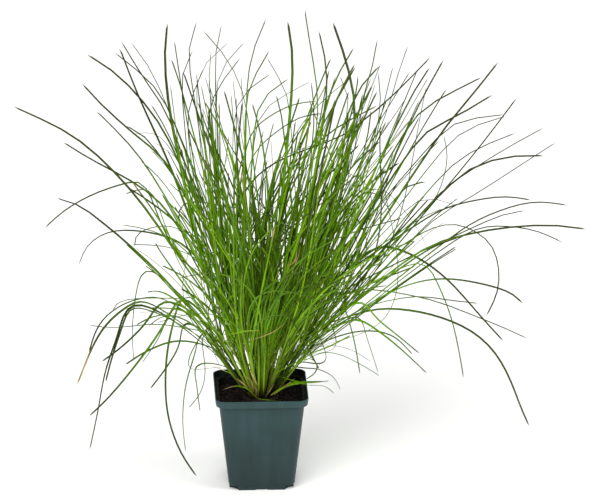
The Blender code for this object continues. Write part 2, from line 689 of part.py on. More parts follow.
def make_shoot(number, shoot, section, green, parts, helpers):
    name = f"shoot_{number + 1:02d}"
    route = [shoot.base, shoot.at(shoot.length)]
    stem = curve_object(name, route, (1, STEM_TOP_RADIUS / STEM_RADIUS), 0, parts)
    stem.data.bevel_depth = STEM_RADIUS
    stem.data.bevel_resolution = 0
    stem = as_mesh(stem, parts)
    for order, (leaf_route, width, roll) in enumerate(shoot.leaves):
        shares = [step / (len(leaf_route) - 1) for step in range(len(leaf_route))]
        widths = [width * leaf_width(share) for share in shares]
        leaf = curve_object(f"{name}_leaf_{order + 1}", leaf_route, widths, roll, helpers)
        leaf.data.bevel_mode = "OBJECT"
        leaf.data.bevel_object = section
        combine(stem, as_mesh(leaf, helpers), "UNION", GRAZING_SOLVER)
    stem.data.materials.append(green)


def main():
    clear_scene()
    parts = collection_named(COLLECTION)
    helpers = collection_named("cutters")
    make_pot(parts, helpers)
    make_soil(parts, helpers)
    make_crown(parts)
    clump = Clump()
    clump.lay_seen()
    clump.lay_grown()
    section = leaf_section(helpers)
    green = material("leaf green", (0.09, 0.2, 0.02), 0.55)
    for number, shoot in enumerate(clump.shoots):
        make_shoot(number, shoot, section, green, parts, helpers)


main()
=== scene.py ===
"""Ornamental grass clump in a square nursery pot: the looks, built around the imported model.

Metres, +Z up. The origin is under the middle of the pot and the pot's front faces -Y. The clump is
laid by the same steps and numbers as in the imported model, so that every blade lies on its solid, and
each shoot then gets finer blades beside those.
"""

import math
import random
from collections import namedtuple

import bmesh
import bpy
import numpy as np
from mathutils import Matrix, Vector, noise

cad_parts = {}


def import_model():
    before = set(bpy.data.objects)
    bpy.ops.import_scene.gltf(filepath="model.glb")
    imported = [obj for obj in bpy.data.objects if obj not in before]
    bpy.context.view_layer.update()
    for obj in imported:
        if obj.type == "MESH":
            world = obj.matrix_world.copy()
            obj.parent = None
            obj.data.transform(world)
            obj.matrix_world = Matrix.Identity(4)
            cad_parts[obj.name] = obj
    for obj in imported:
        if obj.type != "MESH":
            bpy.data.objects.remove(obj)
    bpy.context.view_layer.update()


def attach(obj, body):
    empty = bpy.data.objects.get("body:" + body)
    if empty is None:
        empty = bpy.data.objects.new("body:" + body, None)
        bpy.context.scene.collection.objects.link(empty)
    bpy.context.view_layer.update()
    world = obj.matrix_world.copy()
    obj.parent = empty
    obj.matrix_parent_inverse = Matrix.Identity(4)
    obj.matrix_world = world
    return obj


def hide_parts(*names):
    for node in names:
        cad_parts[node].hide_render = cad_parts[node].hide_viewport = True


MM = 0.001
GAP = 0.3 * MM  # between pieces that touch in the real plant
UP = Vector((0, 0, 1))
ACROSS = Vector((1, 0, 0))

# Pot: half widths of its square sections, and heights
POT_HEIGHT = 96.4 * MM
RIM_HALF = 45 * MM
RIM_LOW_HALF = 44.2 * MM
BAND_Z = 89 * MM
BODY_HIGH_HALF = 41.2 * MM
BODY_LOW_HALF = 31.8 * MM
BODY_LOW_Z = 4.5 * MM
FOOT_HALF = 31 * MM
FOOT_CUT_AT = 31.8 * MM  # hollows under the pot's corners
FOOT_CUT_RADIUS = 9.4 * MM
WALL = 1.2 * MM
POT_CORNER = 9 * MM
POT_EDGE = 0.4 * MM  # rounding of its rim and lip
NOTCH_WIDTH = 12 * MM
NOTCH_HEIGHT = 1.5 * MM
NOTCH_IN = 10 * MM  # where the notches end, from the middle
DRAIN_RADIUS = 4.6 * MM
DRAIN_AT = 16 * MM  # drain holes in the notches, from the middle
CORNER_DRAIN_AT = 20.5 * MM

# Soil, and the root crown that sits in it with the dead bases of old leaves
SOIL_TOP = 84.5 * MM
SOIL_LUMP = 1.8 * MM
SOIL_LUMP_SIZES = (9 * MM, 5 * MM)
CRUMBLY = 1.1 * MM  # finer lumps that only this file makes
CRUMBLY_SIZES = (2.2 * MM, 1.1 * MM)
CRUMBS = 420
CRUMB_SIZES = (0.5 * MM, 1.5 * MM)
CRUMB_TURN = 6.28  # the most that one is turned, in radians
SOIL_GRID = 110  # faces across the soil
CROWN_RADIUS = 17.5 * MM
CROWN_LOW = 76 * MM
CROWN_TOP = 88 * MM
CROWN_RINGS = 5  # rings of faces on its top
CROWN_DOME = 2.2 * MM  # how much lower its edge is than its middle
CROWN_ROUGH = 0.9 * MM
CROWN_ROUGH_SIZE = 3 * MM
STRIPS = 70  # dead leaf bases on the crown
STRIP_LENGTHS = (4 * MM, 15 * MM)
STRIP_WIDTHS = (1.6 * MM, 3.6 * MM)
STRIP_LEANS = (0.7, 1.35)  # as shares of how far the stem beside it leans
STRIP_CURLS = (-0.1, 0.5)  # how far they curl outwards, for their length
STRIP_SINK = 1.5 * MM  # how deep they start in the crown

# Shoots: round stems that fan out from the crown, each with its own leaves
SHOOTS = 57
LEAVES_EACH = 3
SLOT_RADIUS = 15.2 * MM
STEM_RADIUS = 1.35 * MM
STEM_LENGTHS = (45 * MM, 85 * MM)
COLLAR_STEP = 0.17  # between leaves, as a share of the stem
STEM_LEAN = math.radians(38)  # of the outermost stems, from upright
GOLDEN_ANGLE = math.radians(137.508)
LEAF_POINTS = (4, 8)  # on a nearly straight leaf and on a hooked one
TURN_EACH_POINT = 0.5  # radians of bend that add a point
SEED = 11

# How the photograph sees the plant: from above by VIEW_DROP, a little from the left, and far away
VIEW_DROP = math.radians(20)
VIEW_TURN = math.radians(-2.4)
VIEW_DISTANCE = 8.0
AIM_ACROSS = 38 * MM
AIM_UP = 221 * MM
VIEW_WIDTH = 581 * MM  # across the picture, at the pot
REACH = 345 * MM  # length of most leaves, from the crown
UPRIGHT = 0.85  # how far the plant stands up from the plane that faces the viewer
DEPTH_MOST = 250 * MM
SEEN_TRIALS = 200
TRIAL_STEP = 4 * MM  # each trial moves a leaf that much more in depth, up to the next two
TRIAL_TIP_MOST = 60 * MM
TRIAL_BOW_MOST = 20 * MM
LOWEST_TIP = 6 * MM  # above the surface that the pot stands on

# Leaves that the photograph doesn't show whole
GROWN_LENGTHS = (150 * MM, 330 * MM)
GROWN_BENDS = (0, 0.6)
GROWN_TURN = 0.9  # how far they turn aside, in radians
GROWN_TRIALS = 2000
GROWN_LOWEST = 20 * MM
DENSE_MIDDLE = (20 * MM, 222 * MM)  # of the dense part of the clump as seen, across and up
DENSE_HALF = (155 * MM, 190 * MM)
POT_FRONT = (60 * MM, 90 * MM)  # kept open in front of the pot: half width and height

# Finer blades that only this file makes
FINE_SEED = 23
SISTERS = 1  # beside each packed leaf that stands up, shorter than it
SISTER_SPREAD = (6 * MM, 20 * MM)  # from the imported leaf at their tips
SISTER_LENGTHS = (0.5, 0.95)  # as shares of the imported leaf
FINE_WIDTHS = (1.4 * MM, 2.8 * MM)
INNER_LEAVES = 265  # they fill the dense middle of the clump
WIRY_LEAVES = 80  # thin dark ones that cross them
INNER_EACH = 9  # the most on one shoot
INNER_UPS = (185 * MM, 402 * MM)  # how high their tips are as seen
INNER_LOW = 1.4  # over 1, more of the tips are low
FAN_LEAN = 0.12  # how far the fan of inner leaves leans to the right for its height
FAN_SPREAD = 0.34  # and how fast it widens, from FAN_FROM up
FAN_FROM = 30 * MM
PARTING = (8 * MM, 300 * MM)  # the clump parts in the middle, above that height as seen
PARTING_HALF = 24 * MM
INNER_DEPTH = 75 * MM
INNER_BACK_MOST = 205 * MM
INNER_TOP = 462 * MM
INNER_RISE = 0.35  # how much more upright than their tips lie they leave the crown
INNER_ROOTS = (0.35, 1)  # where they leave their stem
INNER_LIFTS = (0.1, 0.22)  # how long they keep their stem's direction
INNER_BOW = 9 * MM  # how far they bend aside
INNER_STRAY = 0.05  # how freely their shoots are picked
WIRY_BOW = 26 * MM
WIRY_STRAY = 0.3
WIRY_WIDTHS = (1.1 * MM, 1.8 * MM)
HEART_MIDDLE = (28 * MM, 250 * MM)  # of the dense middle of the clump as seen, across and up
HEART_HALF = (165 * MM, 185 * MM)
ROUTE_POINTS = 40
ROUTE_EASE = 4  # rounds of easing the corners of a route
LEAF_SHOWN = 0.7  # real blades are narrower than the solids that stand for them
LEAF_OUTSIDE = 0.2  # outer ones are a little wider than the others
FRONT_BEND = 0.9  # radians that a leaf drooping in front of the others turns in all
FRONT_SHOWN = 0.5  # and how wide and how dull it is
FRONT_TONE = 0.5
STEM_SHOWN = 0.9
STEM_RINGS = (  # places along a stem with their half widths, narrower past each sheath's collar
    (0, 1), (0.12, 1.04), (0.4, 0.93), (0.64, 0.9), (0.66, 0.78), (0.81, 0.8), (0.83, 0.7), (1, 0.68)
)
BLADE_THICK = 0.13  # of its width, and how deep it is folded
BLADE_FOLD = 0.36
BLADE_FOOT = 0.3  # how wide it is where it leaves its sheath, of its widest
POINT_FROM = 0.985  # where the point of a blade starts
HOOKED = 1.4  # radians that a leaf turns in all, past which its blade has more sections
ROLL = 0.6  # how far the finer blades are turned about their length, in radians
NEAR_ROLL = 0.2
TWIST = 0.7  # how far every blade turns further to its tip

# Tones: how dull a leaf is, from 0 for a pale young one to 1 for a dark old one; they also carry painted
# shade
FINE_TONES = (0, 0.1, 0.2, 0.3, 0.4, 0.5, 0.7, 0.9)
WIRY_TONES = (0.7, 1)
# on a stem, the tone mixes a painted lit colour with a painted shaded one
STEM_TONES = (0, 0.2, 0.6, 1)
NEAR_TONE = 0.25
# outer leaves get duller tones as painted shade, for leaves lit from behind
OUTER_TONE = 0.8  # of a packed leaf that lies all outside the heart, and what chance adds to each
ADDED_TONES = (0, 0.5)
CLUMP_MIDDLE = (20 * MM, 0, 200 * MM)
CLUMP_HALF = (165 * MM, 400 * MM, 225 * MM)
# painted shade: far from the clump's middle, leaves darken as if lit from behind
DULL_FROM = 0.7  # of the clump's half size from its middle, leaves turn duller
DULL_OUT = 1.5
DRY_TIP_SHARE = 0.06  # of the inner leaves whose tips have died
DRY_TIPS = (0.85, 0.98)  # where on a leaf the dead tip starts
DRY_FADE = 0.12
YELLOW_TIP = (-178 * MM, 91 * MM)  # of the one outer leaf that has died back, as seen
YELLOW_NEAR = 6 * MM  # how near to that place its tip comes
YELLOW_FROM = 0.8

# Studio: a lamp is its place, its size across and its power
FLOOR_SIZE = 24
LAMPS = (((-1.0, -2.2, 2.7), 2.6, 130), ((2.0, -0.9, 1.6), 1.4, 30), ((0.3, 1.8, 2.4), 1.8, 26))
LAMPS_AIM = (0, 0, 0.2)
WORLD_LIGHT = 0.34
SENSOR = 36  # width of the camera's sensor, in its own millimetres

# Leaf widths in mm
WIDE = 4.6
MEDIUM = 3.2
THIN = 2.2

# The outer leaves as seen in the photograph: width, then points in mm across from the pot's middle
# and up from its base, from where the leaf comes out of the clump to its tip
SEEN_LEAVES = (
    # upper left
    (MEDIUM, ((-84, 221), (-115, 266), (-141, 296),
             (-166, 320), (-188, 336), (-208, 346), (-239, 360))),
    (MEDIUM, ((-95, 264), (-131, 291), (-149, 300), (-179, 317), (-191, 325))),
    (MEDIUM, ((-90, 329), (-121, 373), (-149, 399), (-168, 410))),
    (MEDIUM, ((-90, 304), (-123, 333), (-157, 364), (-173, 382))),
    (MEDIUM, ((-75, 240), (-95, 276), (-116, 309), (-133, 329), (-159, 355))),
    (WIDE, ((-86, 296), (-106, 341), (-121, 374), (-137, 416))),
    (THIN, ((-95, 370), (-117, 393), (-141, 412))),
    (THIN, ((-90, 352), (-112, 385), (-135, 423))),
    (THIN, ((-103, 389), (-126, 422))),
    (MEDIUM, ((-86, 296), (-105, 323), (-119, 338), (-130, 341))),
    (THIN, ((-95, 331), (-108, 336), (-124, 333))),
    (MEDIUM, ((-84, 221), (-105, 266), (-115, 290),
             (-131, 285), (-160, 276), (-192, 258), (-209, 242))),
    (MEDIUM, ((-49, 143), (-76, 173), (-99, 199), (-123, 222),
             (-141, 238), (-160, 253), (-183, 270), (-190, 265), (-197, 272))),
    (MEDIUM, ((-73, 225), (-95, 235), (-127, 240), (-149, 238), (-169, 225), (-176, 206))),
    (MEDIUM, ((-76, 240), (-99, 244), (-114, 240), (-123, 235), (-122, 224))),
    # top, left half
    (WIDE, ((-86, 343), (-91, 380), (-93, 411), (-90, 440))),
    (MEDIUM, ((-73, 352), (-79, 389), (-84, 423))),
    (MEDIUM, ((-79, 384), (-87, 406))),
    (MEDIUM, ((-78, 389), (-66, 414))),
    (THIN, ((-68, 389), (-71, 418), (-62, 442))),
    (MEDIUM, ((-72, 343), (-68, 367), (-56, 396))),
    (MEDIUM, ((-14, 359), (-23, 389), (-40, 416), (-56, 433))),
    (MEDIUM, ((-44, 385), (-44, 418), (-38, 439))),
    (MEDIUM, ((-51, 392), (-48, 414))),
    (MEDIUM, ((-64, 385), (-49, 408), (-31, 422))),
    (MEDIUM, ((-44, 382), (-34, 404), (-16, 422))),
    (MEDIUM, ((-52, 352), (-38, 384), (-20, 407))),
    (MEDIUM, ((-14, 380), (-7, 418), (5, 445))),
    (MEDIUM, ((-15, 367), (-3, 396), (8, 414))),
    (MEDIUM, ((27, 370), (15, 392), (6, 408))),
    (MEDIUM, ((-27, 352), (-8, 382), (9, 391))),
    (WIDE, ((29, 361), (31, 398), (30, 422), (26, 442))),
    # top, right half
    (WIDE, ((56, 352), (55, 380), (50, 410), (44, 445), (43, 454))),
    (MEDIUM, ((63, 359), (64, 389), (63, 404), (56, 433))),
    (WIDE, ((92, 345), (87, 389), (79, 416), (70, 441))),
    (MEDIUM, ((67, 374), (77, 396), (90, 417))),
    (MEDIUM, ((67, 352), (81, 382), (91, 401))),
    (MEDIUM, ((104, 384), (112, 411), (113, 425))),
    (MEDIUM, ((124, 359), (136, 402), (143, 419))),
    (MEDIUM, ((94, 376), (115, 399))),
    (MEDIUM, ((116, 352), (114, 393))),
    (MEDIUM, ((87, 370), (76, 390))),
    (MEDIUM, ((92, 370), (94, 390))),
    (MEDIUM, ((77, 325), (115, 359), (142, 385), (164, 408))),
    (MEDIUM, ((148, 374), (164, 398))),
    (MEDIUM, ((132, 315), (152, 359), (177, 405))),
    (THIN, ((-4, 348), (22, 370), (48, 384))),
    (MEDIUM, ((-12, 331), (11, 352), (33, 363), (55, 365))),
    (MEDIUM, ((-12, 305), (22, 341), (45, 353), (60, 353))),
    # right
    (MEDIUM, ((175, 335), (204, 370), (230, 403))),
    (MEDIUM, ((149, 350), (175, 368), (214, 388))),
    (MEDIUM, ((156, 333), (186, 348), (224, 371))),
    (MEDIUM, ((190, 293), (225, 337), (248, 368))),
    (THIN, ((182, 342), (204, 348), (236, 352))),
    (MEDIUM, ((184, 327), (212, 343), (237, 350))),
    (MEDIUM, ((171, 274), (204, 298), (241, 321), (274, 339))),
    (MEDIUM, ((167, 250), (204, 272), (241, 296), (286, 325))),
    (MEDIUM, ((196, 296), (228, 309), (255, 313), (274, 312))),
    (MEDIUM, ((182, 300), (210, 319), (247, 334))),
    (MEDIUM, ((171, 258), (204, 268), (238, 273), (262, 269))),
    (MEDIUM, ((200, 244), (241, 262), (265, 268), (297, 264))),
    (THIN, ((230, 254), (256, 259))),
    (MEDIUM, ((156, 221), (196, 235), (241, 243), (287, 245), (315, 241))),
    (MEDIUM, ((204, 240), (247, 243), (269, 239), (292, 228))),
    (MEDIUM, ((149, 233), (167, 243), (186, 248), (204, 241),
             (223, 229), (231, 201), (230, 180), (218, 157))),
    (MEDIUM, ((167, 266), (179, 296), (182, 317), (177, 333))),
    (MEDIUM, ((153, 271), (175, 269), (189, 264))),
    (MEDIUM, ((149, 325), (180, 377))),
    (THIN, ((110, 285), (134, 265), (149, 247), (162, 223), (166, 203))),
    # lower right
    (MEDIUM, ((111, 172), (149, 189), (182, 193), (223, 186), (249, 177), (254, 169))),
    (MEDIUM, ((99, 182), (131, 179), (167, 172), (204, 158), (234, 146), (258, 135))),
    (MEDIUM, ((103, 166), (131, 173), (153, 176), (182, 172), (210, 169))),
    (MEDIUM, ((106, 163), (131, 164), (167, 158), (200, 145),
             (223, 127), (241, 97), (253, 64), (260, 50))),
    (MEDIUM, ((156, 212), (167, 196), (182, 162), (190, 131), (196, 97))),
    (MEDIUM, ((111, 226), (134, 222), (156, 212), (182, 192), (214, 156), (235, 133))),
    (MEDIUM, ((59, 202), (71, 188), (83, 160), (91, 131), (96, 101))),
    (MEDIUM, ((93, 158), (103, 136), (114, 102))),
    (MEDIUM, ((97, 172), (111, 156), (131, 140), (154, 121))),
    (MEDIUM, ((90, 154), (115, 142), (141, 121), (161, 102))),
    (MEDIUM, ((48, 126), (71, 136), (93, 142), (115, 142), (131, 136), (147, 120))),
    (THIN, ((52, 126), (73, 128), (90, 123), (106, 113))),
    (MEDIUM, ((58, 121), (75, 120), (93, 112), (115, 99))),
    (MEDIUM, ((47, 119), (66, 127), (87, 138))),
    (MEDIUM, ((42, 107), (56, 106), (71, 98), (77, 86))),
    (MEDIUM, ((47, 116), (55, 109), (52, 101), (44, 96))),
    (MEDIUM, ((44, 92), (66, 94))),
    (THIN, ((44, 90), (62, 89), (71, 82))),
    # lower left
    (MEDIUM, ((-114, 172), (-135, 162), (-153, 145), (-166, 121), (-173, 103), (-178, 91))),
    (MEDIUM, ((-95, 174), (-119, 173), (-137, 166), (-155, 151), (-162, 136), (-166, 122))),
    (MEDIUM, ((-68, 170), (-95, 174), (-127, 173), (-141, 169), (-143, 162))),
    (MEDIUM, ((-45, 138), (-68, 144), (-101, 149), (-133, 146), (-157, 146), (-166, 148))),
    (MEDIUM, ((-40, 122), (-64, 131), (-86, 132), (-112, 122), (-131, 110))),
    (MEDIUM, ((-75, 176), (-92, 151), (-108, 127), (-127, 102), (-149, 76), (-166, 60))),
    (MEDIUM, ((-123, 170), (-141, 132), (-151, 105), (-158, 66), (-166, 28))),
    (MEDIUM, ((-123, 166), (-135, 143), (-145, 113), (-150, 93))),
    (MEDIUM, ((-90, 172), (-114, 147), (-135, 127), (-154, 113))),
    (MEDIUM, ((-73, 151), (-80, 127), (-94, 104), (-107, 87))),
    (MEDIUM, ((-72, 180), (-84, 151), (-90, 125), (-92, 97), (-90, 62), (-78, 26), (-62, 2))),
    (MEDIUM, ((-56, 143), (-64, 121), (-73, 91), (-76, 56), (-73, 26))),
    (THIN, ((-62, 109), (-62, 88), (-59, 65))),
    (THIN, ((-55, 140), (-54, 103), (-58, 84), (-70, 68))),
    (THIN, ((-92, 190), (-113, 203), (-123, 166), (-125, 136), (-123, 113))),
    (MEDIUM, ((-82, 166), (-99, 136), (-115, 112))),
    (THIN, ((-49, 132), (-40, 109))),
)

# Short leaves, strips and two pale stems near the soil and in front: width, share of the length from
# which it is dry (none for a fresh one), then points in mm across, up as seen, and real height
NEAR_LEAVES = (
    (2.2, 0.6, ((-4, 77.7, 89), (-14, 87, 101), (-27, 89, 98), (-38, 85, 90))),
    (1.8, None, ((-4, 77.7, 89.5), (0, 76.3, 89.5), (18, 75, 88.5))),
    (6.0, None, ((10, 80, 93), (18, 85, 98), (29, 90, 100), (43, 92, 101), (63, 94, 100))),
    (2.2, 0, ((13, 80.5, 92), (24, 89, 101), (33, 97, 108))),
    (1.4, 0.3, ((-26, 100, 118), (-38, 105, 118), (-49, 109, 116))),
    (2.2, 0, ((-12, 86, 100.5), (-18, 92, 108), (-24, 97, 114))),
    (1.8, 0, ((-7, 84, 100), (-10, 95, 115), (-18, 99, 119))),
    (2.4, 0, ((-3, 90, 109), (-7, 97, 119), (-11, 106, 131))),
    (2.0, 0, ((-5, 79, 92.5), (-4, 85, 101.5), (-9, 90, 108))),
    (1.8, 0, ((5, 79, 92.5), (10, 86, 102.5), (13, 91, 109))),
    (2.6, None, ((-2, 79, 91), (-2, 88, 107), (-2, 112, 141), (-2, 137, 178.5))),
    (2.6, None, ((3, 79.5, 91.5), (3, 88, 107), (4, 112, 141), (5, 138, 180))),
    (2.6, None, ((-2, 143, 195), (-15, 142, 193), (-25, 140, 190), (-41, 138, 185))),
    (1.7, 0, ((-9, 134, 175), (2, 137, 179), (15, 143, 187), (25, 152, 198))),
    (1.8, 0, ((30, 198, 243), (36, 213, 262), (39, 225, 277))),
    (1.6, 0, ((26, 205, 253), (33, 210, 259), (35, 221, 270))),
    (1.4, 0, ((86, 240, 277), (91, 251, 290), (102, 265, 305))),
)

Leaf = namedtuple("Leaf", "route width roll path")  # path holds the points that the route smooths
Blade = namedtuple("Blade", "route width roll tone dry_from")
VIEW_AXES = Matrix.Rotation(VIEW_TURN, 3, "Z") @ Matrix.Rotation(-VIEW_DROP, 3, "X")
TO_VIEW = VIEW_AXES.transposed()


def in_view(across, up, away):
    """The place in the plant of a point given across, up and away from the viewer."""
    spread = 1 + away / VIEW_DISTANCE
    seen = (AIM_ACROSS + (across - AIM_ACROSS) * spread, away, AIM_UP + (up - AIM_UP) * spread)
    return VIEW_AXES @ Vector(seen)


def at_height(across, up, height):
    """The place in the plant of a point given across, up as seen, and its real height."""
    away = (up * math.cos(VIEW_DROP) - height) / math.sin(VIEW_DROP)
    return in_view(across, up, away)


class Shoot:
    """One stem standing in its slot of the crown, and the leaves that it carries."""

    def __init__(self, number, chance):
        share = math.sqrt((number + 0.5) / SHOOTS)
        self.azimuth = number * GOLDEN_ANGLE
        self.lean = STEM_LEAN * share
        self.outward = Vector((math.cos(self.azimuth), math.sin(self.azimuth), 0))
        self.direction = self.outward * math.sin(self.lean) + Vector((0, 0, math.cos(self.lean)))
        foot = CROWN_TOP + GAP + STEM_RADIUS * math.sin(self.lean)
        self.base = self.outward * SLOT_RADIUS * share + Vector((0, 0, foot))
        self.length = chance.uniform(*STEM_LENGTHS)
        self.leaves = []

    def next_collar(self):
        """How far up the stem the next leaf leaves it: the first at the top, the others lower down."""
        return self.length * (1 - COLLAR_STEP * len(self.leaves))

    def at(self, distance):
        return self.base + self.direction * distance


def smooth_route(points, count=None):
    """Points at even steps along a smooth curve through the given ones, more of them where it bends."""
    given = np.array(points)
    ends = np.vstack([2 * given[0] - given[1], given, 2 * given[-1] - given[-2]])
    fine = []
    share = np.linspace(0, 1, 9)[:-1, None]
    for before, start, end, after in zip(ends, ends[1:], ends[2:], ends[3:]):
        length = np.linalg.norm(end - start)
        slope_in = (end - before) * length / np.linalg.norm(end - before)
        slope_out = (after - start) * length / np.linalg.norm(after - start)
        fine.append(
            start * (2 * share**3 - 3 * share**2 + 1)
            + slope_in * (share**3 - 2 * share**2 + share)
            + end * (3 * share**2 - 2 * share**3)
            + slope_out * (share**3 - share**2)
        )
    fine = np.vstack([*fine, given[-1:]])
    runs = np.diff(fine, axis=0)
    lengths = np.linalg.norm(runs, axis=1)
    runs /= lengths[:, None]
    bend = np.arccos(np.clip((runs[1:] * runs[:-1]).sum(1), -1, 1)).sum()
    fewest, most = LEAF_POINTS
    count = count or min(most, fewest + int(bend / TURN_EACH_POINT))
    steps = np.concatenate([[0], np.cumsum(lengths)])
    even = np.linspace(0, steps[-1], count)
    return np.column_stack([np.interp(even, steps, fine[:, axis]) for axis in range(3)])


def least_gap(route, radius, starts, ends, radii):
    """How far the route's segments stay from other segments, less both half thicknesses."""
    if not len(starts):
        return math.inf
    first, last = route[:-1, None], route[1:, None]
    along, other = last - first, (ends - starts)[None]
    between = first - starts[None]
    a = (along**2).sum(-1)
    e = (other**2).sum(-1)
    b = (along * other).sum(-1)
    c = (along * between).sum(-1)
    f = (other * between).sum(-1)
    slack = np.maximum(a * e - b * b, 1e-18)
    s = np.clip((b * f - c * e) / slack, 0, 1)
    t = np.clip((b * s + f) / e, 0, 1)
    s = np.clip((b * t - c) / a, 0, 1)
    apart = between + along * s[..., None] - other * t[..., None]
    return float((np.linalg.norm(apart, axis=-1) - radii[None] - radius).min())


class Clump:
    """Lays the leaves one after another, each clear of the shoots laid before it."""

    def __init__(self):
        self.chance = random.Random(SEED)
        self.shoots = [Shoot(number, self.chance) for number in range(SHOOTS)]
        self.starts = np.array([shoot.base for shoot in self.shoots])
        self.ends = np.array([shoot.at(shoot.length) for shoot in self.shoots])
        self.radii = np.full(SHOOTS, STEM_RADIUS)
        self.owners = np.arange(SHOOTS)
        for z in (BAND_Z + WALL, POT_HEIGHT - WALL):
            corners = [(-1, -1), (1, -1), (1, 1), (-1, 1), (-1, -1)]
            rim = np.array([(x * RIM_HALF, y * RIM_HALF, z) for x, y in corners])
            self.keep_off(-1, rim, 2 * WALL)

    def clear(self, owner, route, radius):
        """Whether a leaf misses every other shoot, and the rest of its own once it is off the stem."""
        others = self.owners != owner
        found = least_gap(route, radius, self.starts[others], self.ends[others], self.radii[others])
        for leaf in self.shoots[owner].leaves:
            outer, own, half = route[2:], leaf.route[2:], np.array([leaf.width / 2])
            found = min(found, least_gap(outer, radius, own[:-1], own[1:], half))
        return found >= GAP

    def keep_off(self, owner, route, radius):
        """Notes a route that what is laid later stays clear of."""
        self.starts = np.vstack([self.starts, route[:-1]])
        self.ends = np.vstack([self.ends, route[1:]])
        self.radii = np.append(self.radii, np.full(len(route) - 1, radius))
        self.owners = np.append(self.owners, np.full(len(route) - 1, owner))

    def add(self, owner, path, width):
        route = smooth_route(path)
        self.keep_off(owner, route, width / 2)
        roll = self.chance.uniform(0.1, 0.6) * self.chance.choice((-1, 1))
        self.shoots[owner].leaves.append(Leaf(route, width, roll, path))

    def seen_leaf(self, shoot, points, tip_away, bow):
        """A leaf through points read from the photograph, with a depth given to each."""
        first = in_view(points[0][0] * MM, points[0][1] * MM, 0)
        leaves_at = min(shoot.next_collar(), 0.5 * (first - shoot.base).length)
        root = shoot.at(leaves_at)
        root_away = (TO_VIEW @ root).y
        flat = [Vector(((TO_VIEW @ root).x, (TO_VIEW @ root).z))]
        flat += [Vector(point) * MM for point in points]
        steps = [0]
        for here, there in zip(flat, flat[1:]):
            steps.append(steps[-1] + (there - here).length)
        path = [shoot.at(0.5 * leaves_at), root]
        for point, step in zip(flat[1:], steps[1:]):
            share = step / steps[-1]
            away = root_away + (tip_away - root_away) * share
            path.append(in_view(*point, away + bow * math.sin(math.pi * share)))
        return path

    def lay_seen(self):
        crown = TO_VIEW @ Vector((0, 0, CROWN_TOP))
        for number, (width, points) in enumerate(SEEN_LEAVES):
            seen = [Vector((crown.x, crown.z))] + [Vector(point) * MM for point in points]
            lengths = [(there - here).length for here, there in zip(seen, seen[1:])]
            inner, tip = seen[1], seen[-1]
            depth = min(math.sqrt(max(0.0, REACH**2 - sum(lengths) ** 2)), 0.6 * sum(lengths))
            side = 1 if number % 2 and tip.y > 0.2 else -1
            middle = side * depth - UPRIGHT * tip.y * math.tan(VIEW_DROP)
            share = lengths[0] / sum(lengths)
            for trial in range(SEEN_TRIALS):
                spread = TRIAL_STEP * trial
                away = middle + self.chance.gauss(0, 1) * min(TRIAL_TIP_MOST, spread)
                bow = self.chance.gauss(0, 1) * min(TRIAL_BOW_MOST, spread / 2)
                inner_at = in_view(inner.x, inner.y, away * min(1, share))
                chord = (inner_at - Vector((0, 0, CROWN_TOP))).normalized()
                tip_at = in_view(tip.x, tip.y, away)
                onward = (tip_at - inner_at).normalized()
                wanted = (1.5 * chord - 0.5 * onward).normalized()
                free = [s for s in range(SHOOTS) if len(self.shoots[s].leaves) < LEAVES_EACH]
                free.sort(key=lambda s: -wanted.dot(self.shoots[s].direction))
                owner = free[min(trial % 4, len(free) - 1)]
                path = self.seen_leaf(self.shoots[owner], points, away, bow)
                route = smooth_route(path)
                in_depth = abs(route[:, 1]).max() < DEPTH_MOST
                low = route[:, 2].min()
                if in_depth and low > LOWEST_TIP and self.clear(owner, route, width * MM / 2):
                    self.add(owner, path, width * MM)
                    break

    def grown_leaf(self, shoot):
        """A leaf that nobody sees whole: it leaves the stem upright and bends over with its weight."""
        chance = self.chance
        leaves_at = shoot.next_collar()
        azimuth = shoot.azimuth + chance.gauss(0, GROWN_TURN)
        length = chance.uniform(*GROWN_LENGTHS)
        bend = chance.uniform(*GROWN_BENDS) + 0.8 * shoot.lean
        return drooping_path(shoot, leaves_at, azimuth, length, bend)

    def in_dense_part(self, route):
        """Whether the leaf stays where the photograph shows leaves all over, off the pot's front."""
        seen = np.array([TO_VIEW @ Vector(point) for point in route])[2:, ::2]
        inside = (((seen - DENSE_MIDDLE) / DENSE_HALF) ** 2).sum(1) < 1
        before_pot = (abs(seen[:, 0]) < POT_FRONT[0]) & (seen[:, 1] < POT_FRONT[1])
        in_depth = abs(route[:, 1]).max() < DEPTH_MOST
        low = route[:, 2].min()
        return inside.all() and not before_pot.any() and in_depth and low > GROWN_LOWEST

    def lay_grown(self):
        for owner, shoot in enumerate(self.shoots):
            for _ in range(GROWN_TRIALS):
                if len(shoot.leaves) >= LEAVES_EACH:
                    break
                width = self.chance.choice((WIDE, MEDIUM, MEDIUM, THIN)) * MM
                path = self.grown_leaf(shoot)
                route = smooth_route(path)
                if self.in_dense_part(route) and self.clear(owner, route, width / 2):
                    self.add(owner, path, width)


def drooping_path(shoot, leaves_at, azimuth, length, bend):
    """Points of a leaf that leans further out the further it is from the stem."""
    path = [shoot.at(0.5 * leaves_at), shoot.at(leaves_at)]
    steps = 6
    for step in range(steps):
        share = (step + 0.5) / steps
        lean = shoot.lean + bend * share**1.3
        turn = azimuth + (shoot.azimuth - azimuth) * (1 - share)
        outward = Vector((math.cos(turn), math.sin(turn), 0)) * math.sin(lean)
        path.append(path[-1] + (outward + Vector((0, 0, math.cos(lean)))) * length / steps)
    return path


# Working with Blender's operators


def deselect():
    bpy.ops.object.select_all(action="DESELECT")


def select(*pieces):
    """Selects these objects alone, the first of them active."""
    deselect()
    for piece in pieces:
        piece.select_set(True)
    bpy.context.view_layer.objects.active = pieces[0]


def new_piece(name):
    """Names the primitive that was just added, with its place put in its mesh."""
    piece = bpy.context.object
    piece.name = piece.data.name = name
    bpy.ops.object.transform_apply(location=True, rotation=True, scale=True)
    return piece


